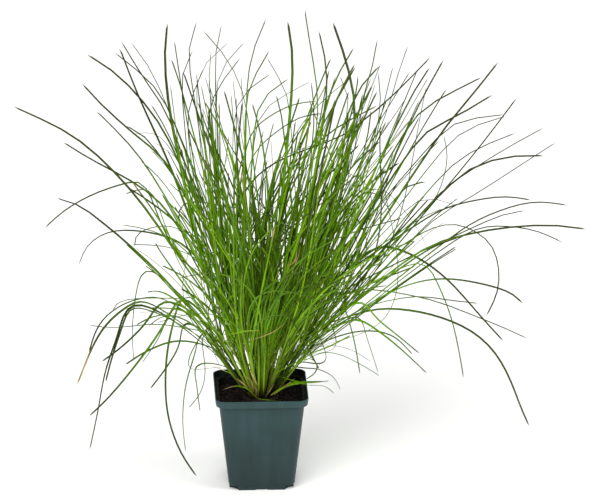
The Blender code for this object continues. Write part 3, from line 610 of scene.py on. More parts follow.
def choose(domain, wanted):
    """In edit mode, selects the verts or faces whose middle passes the test, and nothing else."""
    bpy.ops.mesh.select_mode(type=domain)
    bpy.ops.mesh.select_all(action="DESELECT")
    shape = bmesh.from_edit_mesh(bpy.context.object.data)
    for item in shape.verts if domain == "VERT" else shape.faces:
        middle = item.co if domain == "VERT" else item.calc_center_median()
        item.select_set(bool(wanted(middle)))
    shape.select_flush_mode()
    bmesh.update_edit_mesh(bpy.context.object.data)


def draw_out(step, grow, centre):
    """Extrudes the selected faces by a step and resizes them about a centre."""
    bpy.ops.mesh.extrude_region_move(TRANSFORM_OT_translate={"value": step})
    bpy.ops.transform.resize(value=grow, center_override=centre)


def draw_along(axis, profile):
    """Draws the selected face out along an axis, through places on it with their widths."""
    for (here, width), (there, next_width) in zip(profile, profile[1:]):
        grow = next_width / width
        draw_out(axis * (there - here), [1 if part else grow for part in axis], axis * there)


def rounded_square(name, half, z, corner, segments):
    """A flat square with round corners, left in edit mode with its face selected."""
    deselect()
    bpy.ops.mesh.primitive_plane_add(size=2 * half, location=(0, 0, z))
    piece = new_piece(name)
    bpy.ops.object.mode_set(mode="EDIT")
    bpy.ops.mesh.select_mode(type="VERT")
    bpy.ops.mesh.select_all(action="SELECT")
    bpy.ops.mesh.bevel(offset=corner, segments=segments, affect="VERTICES")
    bpy.ops.mesh.select_mode(type="FACE")
    bpy.ops.mesh.select_all(action="SELECT")
    return piece


def smooth(piece, angle):
    """Smooths all but the edges sharper than the angle in degrees."""
    select(piece)
    bpy.ops.object.shade_smooth_by_angle(angle=math.radians(angle))


def close_up(angle):
    """Merges doubles, turns the faces outwards, leaves edit mode and smooths the piece."""
    bpy.ops.mesh.select_all(action="SELECT")
    bpy.ops.mesh.remove_doubles(threshold=1e-6)
    bpy.ops.mesh.normals_make_consistent(inside=False)
    bpy.ops.object.mode_set(mode="OBJECT")
    smooth(bpy.context.object, angle)


def copy_of(pattern, name):
    made = pattern.copy()
    made.data = pattern.data.copy()
    made.name = made.data.name = name
    bpy.context.scene.collection.objects.link(made)
    return made


def joined(name, pieces):
    """One object of several, with the faces of all."""
    select(*pieces)
    if len(pieces) > 1:
        bpy.ops.object.join()
    pieces[0].name = pieces[0].data.name = name
    return pieces[0]


def put_away(*patterns):
    for pattern in patterns:
        bpy.data.objects.remove(pattern)


def cut_with(piece, cutter, operation="DIFFERENCE"):
    step = piece.modifiers.new("cut", "BOOLEAN")
    step.object = cutter
    step.operation = operation
    select(piece)
    bpy.ops.object.modifier_apply(modifier=step.name)
    put_away(cutter)


def set_values(mesh, name, values):
    """Keeps a number for each point of a mesh, for its material to read."""
    kept = mesh.attributes.get(name) or mesh.attributes.new(name, "FLOAT", "POINT")
    kept.data.foreach_set("value", np.asarray(values, np.float32))


def places_of(mesh):
    places = np.empty(len(mesh.vertices) * 3, np.float32)
    mesh.vertices.foreach_get("co", places)
    return places.reshape(-1, 3)


# Materials


def linear(colour):
    """A linear colour from an sRGB hex value."""
    parts = [int(colour[at : at + 2], 16) / 255 for at in (1, 3, 5)]
    return (*(p / 12.92 if p <= 0.04045 else ((p + 0.055) / 1.055) ** 2.4 for p in parts), 1)


def add_node(tree, kind, output, links=None, stops=(), **settings):
    """Adds a shader node and gives one of its outputs. Links give its inputs by name or number, each
    from a socket or a value, and stops give a colour ramp its places with their colours."""
    node = tree.nodes.new("ShaderNode" + kind)
    for name, value in settings.items():
        setattr(node, name, value)
    for socket, source in (links or {}).items():
        if isinstance(source, bpy.types.NodeSocket):
            tree.links.new(source, node.inputs[socket])
        else:
            node.inputs[socket].default_value = source
    for number, (place, colour) in enumerate(stops):
        elements = node.color_ramp.elements
        stop = elements[number] if number < 2 else elements.new(place)
        stop.position = place
        stop.color = linear(colour)
    return node.outputs[output]


MIX_FACTOR, MIX_A, MIX_B, MIX_RESULT = 0, 6, 7, 2  # the Mix node's sockets for colours


def new_material(name, roughness, ior, specular=0.5):
    made = bpy.data.materials.new(name)
    made.use_nodes = True
    shader = made.node_tree.nodes["Principled BSDF"]
    shader.inputs["Roughness"].default_value = roughness
    shader.inputs["IOR"].default_value = ior
    shader.inputs["Specular IOR Level"].default_value = specular
    return made, made.node_tree


def finished(made, colour, height, strength, depth, gloss=None):
    """Gives a material its colour, its bumps and, where it varies, its gloss."""
    tree = made.node_tree
    shader = tree.nodes["Principled BSDF"]
    bumps = add_node(tree, "Bump", "Normal", {"Height": height, "Strength": strength, "Distance": depth})
    tree.links.new(colour, shader.inputs["Base Color"])
    tree.links.new(bumps, shader.inputs["Normal"])
    if gloss:
        tree.links.new(gloss, shader.inputs["Roughness"])
    return made


def grass_blade():
    """Grass leaf, grown: waxy and ribbed lengthwise, pale where it leaves its sheath and dull at its tip."""
    made, tree = new_material("grass_leaf_waxy_ribbed", 0.45, 1.42, 0.12)
    place = add_node(tree, "TexCoord", "Object")
    along, across, tone, dry = (
        add_node(tree, "Attribute", "Fac", attribute_name=name)
        for name in ("along", "across", "tone", "dry")
    )
    patches = add_node(tree, "TexNoise", "Fac", {"Vector": place, "Scale": 1 / (22 * MM), "Detail": 3})
    pale_stops = ((0, "#c6c458"), (0.15, "#b0cc38"), (0.5, "#90c018"), (1, "#6a9410"))
    fresh_stops = ((0, "#808a24"), (0.12, "#74990c"), (0.4, "#68a400"), (0.75, "#558a00"))
    fresh_stops += ((0.93, "#446a04"), (1, "#47500c"))
    dull_stops = ((0, "#28340a"), (0.15, "#456404"), (0.5, "#283c04"), (0.85, "#1c220e"), (1, "#1e1c10"))
    dead_stops = ((0.3, "#7c6436"), (0.5, "#a8925a"), (0.7, "#ccbc88"))
    pale, fresh, dull, dead = (
        add_node(tree, "ValToRGB", "Color", {"Fac": factor}, stops)
        for factor, stops in (
            (along, pale_stops),
            (along, fresh_stops),
            (along, dull_stops),
            (patches, dead_stops),
        )
    )
    off_middle = add_node(tree, "Math", "Value", {0: across}, operation="ABSOLUTE")
    # each goes from one range, low and high, to another
    to_fresh, to_dull, brightness, midrib, painted_edge_shade, gloss = (
        add_node(tree, "MapRange", "Result", dict(enumerate(values)))
        for values in (
            (tone, 0, 0.3, 0, 1),
            (tone, 0.3, 1, 0, 1),
            (patches, 0.3, 0.7, 0.75, 1.2),
            # a paler midrib, partly its own colour and partly a painted highlight
            (off_middle, 0.05, 0.22, 0.35, 0),
            # painted shade: darker towards the blade's edges, where crowded leaves shade each other
            (off_middle, 0.5, 1, 0, 0.6),
            (patches, 0.3, 0.7, 0.36, 0.55),
        )
    )
    colour = pale
    for share, over in ((to_fresh, fresh), (to_dull, dull)):
        layers = {MIX_FACTOR: share, MIX_A: colour, MIX_B: over}
        colour = add_node(tree, "Mix", MIX_RESULT, layers, data_type="RGBA")
    colour = add_node(tree, "HueSaturation", "Color", {"Color": colour, "Value": brightness})
    for share, over in ((midrib, linear("#a8c03c")), (painted_edge_shade, linear("#1e3004")), (dry, dead)):
        layers = {MIX_FACTOR: share, MIX_A: colour, MIX_B: over}
        colour = add_node(tree, "Mix", MIX_RESULT, layers, data_type="RGBA")
    # real veins are about 0.2 mm apart: these ribs are up to twice as coarse, four on each half
    turns = add_node(tree, "Math", "Value", {0: across, 1: 4 * 2 * math.pi}, operation="MULTIPLY")
    ribs = add_node(tree, "Math", "Value", {0: turns}, operation="COSINE")
    return finished(made, colour, ribs, 0.4, 0.08 * MM, gloss)


def leaf_sheath():
    """Leaf sheath, grown: smooth pale green rolled round the stem, brown and papery at its foot."""
    made, tree = new_material("leaf_sheath_smooth", 0.5, 1.42, 0.2)
    place = add_node(tree, "TexCoord", "Object")
    along, across, tone = (
        add_node(tree, "Attribute", "Fac", attribute_name=name) for name in ("along", "across", "tone")
    )
    patches = add_node(tree, "TexNoise", "Fac", {"Vector": place, "Scale": 1 / (6 * MM), "Detail": 4})
    ragged = add_node(tree, "Math", "Value", {0: patches, 1: 0.25, 2: -0.12}, operation="MULTIPLY_ADD")
    height = add_node(tree, "Math", "Value", {0: along, 1: ragged}, operation="ADD")
    # painted light and shade: a lit colour and a shaded copy of it, mixed by the stem's tone
    bright_stops = ((0, "#2c200c"), (0.06, "#6c6424"), (0.18, "#8c9a34"), (0.45, "#94b430"), (1, "#86b420"))
    shaded_stops = ((0, "#120c06"), (0.1, "#26220c"), (0.4, "#2e420c"), (1, "#2c4a08"))
    bright, shaded = (
        add_node(tree, "ValToRGB", "Color", {"Fac": height}, stops)
        for stops in (bright_stops, shaded_stops)
    )
    layers = {MIX_FACTOR: tone, MIX_A: bright, MIX_B: shaded}
    colour = add_node(tree, "Mix", MIX_RESULT, layers, data_type="RGBA")
    turns = add_node(tree, "Math", "Value", {0: across, 1: 6 * 2 * math.pi}, operation="MULTIPLY")
    ribs = add_node(tree, "Math", "Value", {0: turns}, operation="COSINE")
    return finished(made, colour, ribs, 0.35, 0.08 * MM)


def old_sheath():
    """Dead leaf bases, dried on the plant: fibrous brown and tan, dull."""
    made, tree = new_material("dead_sheath_fibrous", 0.82, 1.4)
    place = add_node(tree, "TexCoord", "Object")
    tone = add_node(tree, "Attribute", "Fac", attribute_name="tone")
    fibres = add_node(tree, "TexNoise", "Fac", {"Vector": place, "Scale": 1 / (1.6 * MM), "Detail": 4})
    dark, pale = (
        add_node(tree, "ValToRGB", "Color", {"Fac": fibres}, stops)
        for stops in (
            ((0.3, "#0d0805"), (0.5, "#1a110a"), (0.7, "#2e2010")),
            ((0.3, "#5c4826"), (0.5, "#86703e"), (0.7, "#b8a070")),
        )
    )
    layers = {MIX_FACTOR: tone, MIX_A: dark, MIX_B: pale}
    colour = add_node(tree, "Mix", MIX_RESULT, layers, data_type="RGBA")
    return finished(made, colour, fibres, 0.6, 0.4 * MM)


def peat():
    """Peat compost, milled and watered: near black with brown crumbs, dull and open."""
    made, tree = new_material("peat_compost_loose", 0.95, 1.35, 0.2)
    place = add_node(tree, "TexCoord", "Object")
    crumbs = add_node(tree, "TexNoise", "Fac", {"Vector": place, "Scale": 1 / (2.5 * MM), "Detail": 6})
    stops = ((0.35, "#050403"), (0.56, "#0f0a06"), (0.78, "#4c3a22"))
    colour = add_node(tree, "ValToRGB", "Color", {"Fac": crumbs}, stops)
    return finished(made, colour, crumbs, 0.9, 0.8 * MM)


def pot_plastic():
    """Recycled polypropylene, injection moulded: blue green grey, a soft sheen and a fine dull grain."""
    made, tree = new_material("moulded_polypropylene", 0.42, 1.49, 0.25)
    place = add_node(tree, "TexCoord", "Object")
    drawn_up = add_node(tree, "Mapping", "Vector", {"Vector": place, "Scale": (1, 1, 0.08)})
    clouds, flow, grain = (
        add_node(tree, "TexNoise", "Fac", {"Vector": at, "Scale": 1 / size, "Detail": detail})
        for at, size, detail in ((place, 35 * MM, 2), (drawn_up, 9 * MM, 2), (place, 0.7 * MM, 3))
    )
    both = add_node(tree, "Math", "Value", {0: clouds, 1: flow}, operation="ADD")
    mixed = add_node(tree, "Math", "Value", {0: both, 1: 0.5}, operation="MULTIPLY")
    stops = ((0.35, "#253a3a"), (0.5, "#294041"), (0.65, "#2f464a"))
    colour = add_node(tree, "ValToRGB", "Color", {"Fac": mixed}, stops)
    height = add_node(tree, "SeparateXYZ", "Z", {"Vector": place})
    # painted shade and light: the body darkens towards its foot and the band is lighter, as the lamps fall
    # on them
    upper, painted_band_light, gloss = (
        add_node(tree, "MapRange", "Result", dict(enumerate(values)))
        for values in (
            (height, 5 * MM, BAND_Z, 0.6, 1),
            (height, BAND_Z, BAND_Z + MM, 0, 0.14),
            (clouds, 0.3, 0.7, 0.38, 0.5),
        )
    )
    upper = add_node(tree, "Math", "Value", {0: upper, 1: painted_band_light}, operation="ADD")
    colour = add_node(tree, "HueSaturation", "Color", {"Color": colour, "Value": upper})
    return finished(made, colour, grain, 0.25, 0.08 * MM, gloss)


def dark_inner_plastic():
    """The same polypropylene on the faces inside the pot: near black, dull."""
    made, tree = new_material("moulded_polypropylene_dark_inside", 0.8, 1.49, 0.2)
    place = add_node(tree, "TexCoord", "Object")
    mottle = add_node(tree, "TexNoise", "Fac", {"Vector": place, "Scale": 1 / (4 * MM), "Detail": 5})
    stops = ((0.35, "#0a0a08"), (0.5, "#11130f"), (0.75, "#1c2a2a"))
    colour = add_node(tree, "ValToRGB", "Color", {"Fac": mottle}, stops)
    return finished(made, colour, mottle, 0.4, 0.2 * MM)


def studio_floor():
    """Painted studio floor: plain white, matt."""
    made, tree = new_material("white_matt_paint", 0.9, 1.45)
    tree.nodes["Principled BSDF"].inputs["Base Color"].default_value = linear("#fafaf8")
    return made


# Pot


def body_half(z):
    """Outer half width of the pot's tapered body at that height."""
    slope = (BODY_HIGH_HALF - BODY_LOW_HALF) / (BAND_Z - BODY_LOW_Z)
    return BODY_LOW_HALF + (z - BODY_LOW_Z) * slope


def upright_cylinder(at, radius, low, high, sides):
    bpy.ops.mesh.primitive_cylinder_add(
        vertices=sides, radius=radius, depth=high - low, location=(*at, (low + high) / 2)
    )
    return new_piece("cutter")


def make_pot():
    """The pot's wall, drawn up from its floor, over its lip and down inside, on a foot with hollows."""
    pot = rounded_square("nursery_pot", RIM_HALF, BODY_LOW_Z, POT_CORNER + WALL, 7)
    profile = [
        (BODY_LOW_Z, BODY_LOW_HALF - 1.4 * MM),
        (BODY_LOW_Z + 0.3 * MM, BODY_LOW_HALF - 0.5 * MM),
        (BODY_LOW_Z + WALL, body_half(BODY_LOW_Z + WALL)),
        (BAND_Z - POT_EDGE, body_half(BAND_Z - POT_EDGE)),
        (BAND_Z, BODY_HIGH_HALF + 0.5 * MM),
        (BAND_Z, RIM_LOW_HALF - 0.7 * MM),
        (BAND_Z + POT_EDGE, RIM_LOW_HALF - 0.1 * MM),
        (BAND_Z + WALL, RIM_LOW_HALF + 0.1 * MM),
        (POT_HEIGHT - WALL, RIM_HALF - 0.1 * MM),
        (POT_HEIGHT - POT_EDGE, RIM_HALF - 0.15 * MM),
        (POT_HEIGHT, RIM_HALF - WALL / 2),
        (POT_HEIGHT - POT_EDGE, RIM_HALF - WALL + 0.1 * MM),
        (BAND_Z + 2 * WALL, RIM_LOW_HALF - WALL),
        (BAND_Z + WALL, RIM_LOW_HALF - WALL - 0.6 * MM),
        (BAND_Z + WALL, body_half(BAND_Z) - WALL),
        (BAND_Z, body_half(BAND_Z) - WALL),
        (BODY_LOW_Z + 2 * WALL, body_half(BODY_LOW_Z + WALL) - WALL),
        (BODY_LOW_Z + WALL, BODY_LOW_HALF - 2 * WALL),
    ]
    grow = profile[0][1] / RIM_HALF
    bpy.ops.transform.resize(value=(grow, grow, 1), center_override=(0, 0, BODY_LOW_Z))
    draw_along(UP, profile)
    close_up(30)
    height = BODY_LOW_Z + WALL / 2
    bpy.ops.mesh.primitive_cube_add(
        size=1, scale=(2 * FOOT_HALF, 2 * FOOT_HALF, height), location=(0, 0, height / 2)
    )
    foot = new_piece("pot_foot")
    for x, y in ((1, 1), (-1, 1), (-1, -1), (1, -1)):
        at = (x * FOOT_CUT_AT, y * FOOT_CUT_AT)
        cut_with(foot, upright_cylinder(at, FOOT_CUT_RADIUS, -1 * MM, 2 * BODY_LOW_Z, 40))
    cut_with(pot, foot, "UNION")
    long = FOOT_HALF - NOTCH_IN + 2 * WALL
    for quarter in range(4):
        turn = Matrix.Rotation(quarter * math.pi / 2, 3, "Z")
        bpy.ops.mesh.primitive_cube_add(
            size=1,
            scale=(long, NOTCH_WIDTH, 2 * NOTCH_HEIGHT),
            location=turn @ Vector((NOTCH_IN + long / 2, 0, 0)),
            rotation=(0, 0, quarter * math.pi / 2),
        )
        cut_with(pot, new_piece("cutter"))
        for place in ((DRAIN_AT, 0), (CORNER_DRAIN_AT, CORNER_DRAIN_AT)):
            at = turn @ Vector((*place, 0))
            cut_with(pot, upright_cylinder(at[:2], DRAIN_RADIUS, -2 * MM, 2 * BODY_LOW_Z, 24))
    smooth(pot, 35)
    return pot


# Soil


def ground_height(x, y):
    """Height of the soil at that place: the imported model's lumps and finer ones on them."""
    at = Vector((x, y, 0))
    broad, fine = (noise.noise(at / size) for size in SOIL_LUMP_SIZES)
    coarse, milled = (noise.noise(at / size) for size in CRUMBLY_SIZES)
    return SOIL_TOP + SOIL_LUMP * (broad + 0.6 * fine) + CRUMBLY * (0.5 * coarse + 0.3 * milled)


def crumb_pattern(name, seed):
    """A lump of peat: a ball of a few dozen faces pushed out of round."""
    deselect()
    bpy.ops.mesh.primitive_ico_sphere_add(subdivisions=2, radius=1)
    crumb = new_piece(name)
    for vert in crumb.data.vertices:
        out = vert.co + Vector((seed, 0, 0))
        vert.co *= 0.8 + 0.5 * noise.noise(out * 1.3)
    smooth(crumb, 50)
    return crumb


def make_soil(chance):
    """Peat filled up to under the rim, loose on top."""
    deselect()
    half = body_half(BAND_Z) - WALL - GAP
    bpy.ops.mesh.primitive_grid_add(
        x_subdivisions=SOIL_GRID, y_subdivisions=SOIL_GRID, size=2 * RIM_HALF
    )
    soil = new_piece("peat_compost")
    for vert in soil.data.vertices:
        vert.co.z = ground_height(vert.co.x, vert.co.y)
    bpy.ops.object.mode_set(mode="EDIT")
    bpy.ops.mesh.select_mode(type="FACE")
    bpy.ops.mesh.select_all(action="SELECT")
    draw_out((0, 0, -POT_HEIGHT), (1, 1, 0), (0, 0, 0))
    close_up(60)
    high, low = BAND_Z + WALL, BODY_LOW_Z + WALL + GAP
    block = rounded_square("cutter", half, high, POT_CORNER, 6)
    draw_along(UP, ((high, half), (low, body_half(low) - WALL - GAP)))
    close_up(30)
    cut_with(soil, block, "INTERSECT")
    smooth(soil, 60)
    patterns = [crumb_pattern(f"crumb_{seed}", seed) for seed in range(3)]
    crumbs = []
    while len(crumbs) < CRUMBS:
        x, y = chance.uniform(-half, half), chance.uniform(-half, half)
        size = chance.uniform(*CRUMB_SIZES) * chance.choice((0.7, 1, 1, 1.5))
        if max(abs(x), abs(y)) > half - 2 * size or abs(x) + abs(y) > 2 * half - POT_CORNER:
            continue
        crumb = copy_of(chance.choice(patterns), "crumb")
        turn = Matrix.Rotation(chance.uniform(0, CRUMB_TURN), 4, "Z")
        flat = Matrix.Diagonal((size, size * chance.uniform(0.6, 1), size * 0.7, 1))
        place = Matrix.Translation((x, y, ground_height(x, y) + 0.2 * size))
        crumb.data.transform(place @ turn @ flat)
        crumbs.append(crumb)
    put_away(*patterns)
    return joined("peat_compost", [soil, *crumbs])


# Blades, shoots and crown


def blade_width(share):
    """Width along a blade as a share of its widest: narrow at its sheath, and a point at the very tip."""
    return min(1, BLADE_FOOT + 1.5 * share) * (1 - 0.36 * share**2) if share < 1 else 0.06


def short_width(share):
    """The same for a short leaf low on the plant, which narrows evenly to its tip."""
    return min(1, BLADE_FOOT + 1.6 * share) * (1 - share**2) if share < 1 else 0.03


def blade_pattern(name, sections, width_at):
    """A straight blade one metre long and wide, drawn out section by section, folded at its midrib."""
    deselect()
    bpy.ops.mesh.primitive_circle_add(
        vertices=4, radius=0.5, fill_type="NGON", rotation=(0, math.pi / 2, 0)
    )
    blade = new_piece(name)
    bpy.ops.object.mode_set(mode="EDIT")
    bpy.ops.mesh.select_all(action="SELECT")
    bpy.ops.transform.resize(value=(1, 1, BLADE_THICK), center_override=(0, 0, 0))
    choose("VERT", lambda place: abs(place.y) > 0.3)
    bpy.ops.transform.translate(value=(0, 0, BLADE_FOLD))
    bpy.ops.mesh.select_mode(type="FACE")
    bpy.ops.mesh.select_all(action="SELECT")
    grow = width_at(0)
    bpy.ops.transform.resize(value=(1, grow, grow), center_override=(0, 0, 0))
    shares = [POINT_FROM * step / (sections - 1) for step in range(sections)] + [1]
    draw_along(ACROSS, [(share, width_at(share)) for share in shares])
    close_up(45)
    keep_place(blade, width_at)
    return blade


def sheath_pattern(name):
    """A straight stem one metre long and two thick, in its rolled sheaths, each ending in a collar."""
    deselect()
    bpy.ops.mesh.primitive_circle_add(
        vertices=8, radius=1, fill_type="NGON", rotation=(0, math.pi / 2, 0)
    )
    stem = new_piece(name)
    bpy.ops.object.mode_set(mode="EDIT")
    bpy.ops.mesh.select_all(action="SELECT")
    draw_along(ACROSS, STEM_RINGS)
    close_up(40)
    keep_place(stem, lambda share: 2)
    return stem


def keep_place(piece, width_at):
    """Keeps, for the material, how far along and across the straight blade each point is."""
    places = places_of(piece.data)
    widths = np.array([width_at(share) for share in places[:, 0]])
    set_values(piece.data, "along", places[:, 0])
    set_values(piece.data, "across", 2 * places[:, 1] / widths)


def bend(piece, route, width, roll, twist, inner):
    """Lays a straight blade along a route, its upper face towards inner at the start. A Curve modifier
    would turn it over wherever it passes upright, so its points are moved here."""
    points = np.asarray(route, float)
    runs = np.gradient(points, axis=0)
    runs /= np.linalg.norm(runs, axis=1)[:, None]
    faces = []
    face = np.array(inner, float)
    for run in runs:
        face = face - run * (face @ run)
        face /= np.linalg.norm(face)
        faces.append(face)
    steps = np.linalg.norm(np.diff(points, axis=0), axis=1)
    shares = np.concatenate([[0], np.cumsum(steps)]) / steps.sum()
    straight = places_of(piece.data)

    def at(values):
        return np.column_stack([np.interp(straight[:, 0], shares, values[:, a]) for a in range(3)])

    run, face = at(runs), at(np.array(faces))
    run /= np.linalg.norm(run, axis=1)[:, None]
    face -= run * (face * run).sum(1)[:, None]
    face /= np.linalg.norm(face, axis=1)[:, None]
    side = np.cross(face, run)
    angle = (roll + twist * straight[:, 0])[:, None]
    across = (straight[:, 1] * width)[:, None]
    above = (straight[:, 2] * width)[:, None]
    turned_side = np.cos(angle) * side + np.sin(angle) * face
    turned_face = np.cos(angle) * face - np.sin(angle) * side
    placed = at(points) + turned_side * across + turned_face * above
    piece.data.vertices.foreach_set("co", placed.astype(np.float32).ravel())
    piece.data.update()


def set_looks(piece, tone, dry_from=None):
    """Keeps how dull a blade is, more so far out in the clump, and how dried: from some share of its
    length to its tip, or nowhere."""
    out = np.linalg.norm((places_of(piece.data) - CLUMP_MIDDLE) / CLUMP_HALF, axis=1)
    # far out in the clump the tone darkens: painted shade
    set_values(piece.data, "tone", np.clip(tone + DULL_OUT * np.maximum(0, out - DULL_FROM), 0, 1))
    dryness = np.zeros(len(out))
    if dry_from is not None:
        along = np.empty(len(out), np.float32)
        piece.data.attributes["along"].data.foreach_get("value", along)
        dryness = np.clip((along - dry_from) / DRY_FADE + (dry_from == 0), 0, 1)
    set_values(piece.data, "dry", dryness)


def eased(route):
    """A route with its corners rounded, its ends kept."""
    for _ in range(ROUTE_EASE):
        route[1:-1] = (route[:-2] + 2 * route[1:-1] + route[2:]) / 4
    return route


def bend_of(route):
    """Radians that a route turns in all."""
    runs = np.diff(route, axis=0)
    runs /= np.linalg.norm(runs, axis=1)[:, None]
    return float(np.arccos(np.clip((runs[1:] * runs[:-1]).sum(1), -1, 1)).sum())


def in_heart(route):
    """Which points of a route are in the dense middle of the clump, as the photograph sees it."""
    seen = (np.asarray(route) @ np.array(VIEW_AXES))[:, ::2]
    return (((seen - HEART_MIDDLE) / HEART_HALF) ** 2).sum(1) < 1


def within_heart(route):
    inside = in_heart(route)
    return route if inside.all() else route[: int(np.argmin(inside))]


def sister_route(chance, leaf):
    """A shorter leaf that comes up with a packed one and drifts away from it."""
    points = eased(smooth_route(leaf.path, ROUTE_POINTS))
    points = points[: round(ROUTE_POINTS * chance.uniform(*SISTER_LENGTHS))]
    away = Vector([chance.gauss(0, 1) for _ in range(3)]).normalized()
    away *= chance.uniform(*SISTER_SPREAD)
    share = np.linspace(0, 1, len(points))[:, None]
    return within_heart(points + np.array(away) * share**1.3)


def inner_route(chance, clump, taken, most_bow, stray):
    """A leaf to somewhere in the dense middle, from a shoot that points there. Gives the shoot too."""
    low, high = INNER_UPS
    tip = None
    while not tip or abs(tip.y) > INNER_BACK_MOST or tip.z > INNER_TOP or in_parting:
        up = low + (high - low) * chance.random() ** INNER_LOW
        across = FAN_LEAN * up + FAN_SPREAD * (up - FAN_FROM) * chance.uniform(-1, 1)
        away = chance.gauss(0, INNER_DEPTH) - UPRIGHT * up * math.tan(VIEW_DROP)
        tip = in_view(across, up, away)
        in_parting = abs(across - PARTING[0]) < PARTING_HALF and up > PARTING[1]
    wanted = ((tip - CROWN_TOP * UP).normalized() + INNER_RISE * UP).normalized()
    free = [s for s in range(SHOOTS) if taken[s] < INNER_EACH]
    free.sort(key=lambda s: -wanted.dot(clump.shoots[s].direction) + chance.gauss(0, stray))
    owner = free[0]
    taken[owner] += 1
    shoot = clump.shoots[owner]
    root = shoot.at(shoot.length * chance.uniform(*INNER_ROOTS))
    chord = tip - root
    lift = shoot.direction * chord.length - chord
    bow = Vector([chance.gauss(0, most_bow) for _ in range(3)])
    middle = root + 0.5 * chord + chance.uniform(*INNER_LIFTS) * lift + bow
    path = [shoot.base.lerp(root, 0.5), root, middle, tip]
    return owner, eased(smooth_route(path, ROUTE_POINTS))


def dried(chance, route):
    """From where on a leaf is dry: the tips of a few inner ones, else None."""
    if not in_heart(route).all() or chance.random() > DRY_TIP_SHARE:
        return None
    return chance.uniform(*DRY_TIPS)


def fine_blade(chance, route):
    width = chance.uniform(*FINE_WIDTHS)
    tone = chance.choice(FINE_TONES)
    return Blade(route, width, chance.gauss(0, ROLL), tone, dried(chance, route))


def wiry_blade(chance, route):
    """A thin dark one, of those that lie across the others."""
    width = chance.uniform(*WIRY_WIDTHS)
    return Blade(route, width, chance.gauss(0, ROLL), chance.uniform(*WIRY_TONES), None)


def near_leaf(clump, width, dry_from, points):
    """A short leaf near the soil or in front, and the shoot that it belongs to."""
    path = [at_height(*(value * MM for value in point)) for point in points]
    steps = [(shoot.at(0.3 * shoot.length) - path[0]).length for shoot in clump.shoots]
    route = smooth_route(path, ROUTE_POINTS)
    return steps.index(min(steps)), Blade(route, width * MM, NEAR_ROLL, NEAR_TONE, dry_from)


def packed_blades(chance, shoot):
    """Blades on a shoot's packed leaves, and the finer ones that come up beside those that stand up."""
    blades = []
    for leaf in shoot.leaves:
        route = eased(smooth_route(leaf.path, ROUTE_POINTS))
        outside = 1 - in_heart(route).mean()
        tone = min(1, OUTER_TONE * outside + chance.uniform(*ADDED_TONES))
        tip = TO_VIEW @ Vector(route[-1])
        died_back = math.dist((tip.x, tip.z), YELLOW_TIP) < YELLOW_NEAR
        dry_from = YELLOW_FROM if died_back else dried(chance, route)
        width = (LEAF_SHOWN + LEAF_OUTSIDE * outside) * leaf.width
        if not outside and bend_of(route) > FRONT_BEND:
            tone, width = FRONT_TONE, FRONT_SHOWN * leaf.width
        blades.append(Blade(route, width, leaf.roll, tone, dry_from))
        if tip.z > INNER_UPS[0]:
            blades += [fine_blade(chance, sister_route(chance, leaf)) for _ in range(SISTERS)]
    return blades


def make_shoots(clump, chance):
    """Each shoot as one piece: its sheathed stem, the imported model's leaves and the finer ones."""
    straight = blade_pattern("blade", 16, blade_width)
    hooked = blade_pattern("blade_hooked", 32, blade_width)
    short = blade_pattern("blade_short", 12, short_width)
    sheath = sheath_pattern("sheath")
    blade_look, sheath_look = grass_blade(), leaf_sheath()
    for pattern in (straight, hooked, short):
        pattern.data.materials.append(blade_look)
    sheath.data.materials.append(sheath_look)
    taken = [0] * SHOOTS
    inner_ones = []
    for count, look, most_bow, stray in (
        (INNER_LEAVES, fine_blade, INNER_BOW, INNER_STRAY),
        (WIRY_LEAVES, wiry_blade, WIRY_BOW, WIRY_STRAY),
    ):
        for _ in range(count):
            owner, route = inner_route(chance, clump, taken, most_bow, stray)
            inner_ones.append((owner, look(chance, route)))
    near_ones = [near_leaf(clump, *given) for given in NEAR_LEAVES]
    for number, shoot in enumerate(clump.shoots):
        inner = -shoot.outward * math.cos(shoot.lean) + Vector((0, 0, math.sin(shoot.lean)))
        stem = copy_of(sheath, "stem")
        ends = [shoot.base, shoot.at(shoot.length / 2), shoot.at(shoot.length)]
        bend(stem, ends, STEM_SHOWN * STEM_RADIUS, chance.uniform(0, 3), 0, inner)
        set_looks(stem, chance.choice(STEM_TONES))
        near = [blade for owner, blade in near_ones if owner == number]
        blades = packed_blades(chance, shoot)
        blades += [blade for owner, blade in inner_ones if owner == number]
        pieces = [stem]
        kinds = [short] * len(near)
        kinds += [hooked if bend_of(blade.route) > HOOKED else straight for blade in blades]
        for kind, blade in zip(kinds, near + blades):
            piece = copy_of(kind, "leaf")
            bend(piece, blade.route, blade.width, blade.roll, chance.gauss(0, TWIST), inner)
            set_looks(piece, blade.tone, blade.dry_from)
            pieces.append(piece)
        piece = joined(f"grass_shoot_{number + 1:02d}", pieces)
        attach(piece, "root")
        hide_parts(f"shoot_{number + 1:02d}")
    put_away(straight, hooked, short, sheath)


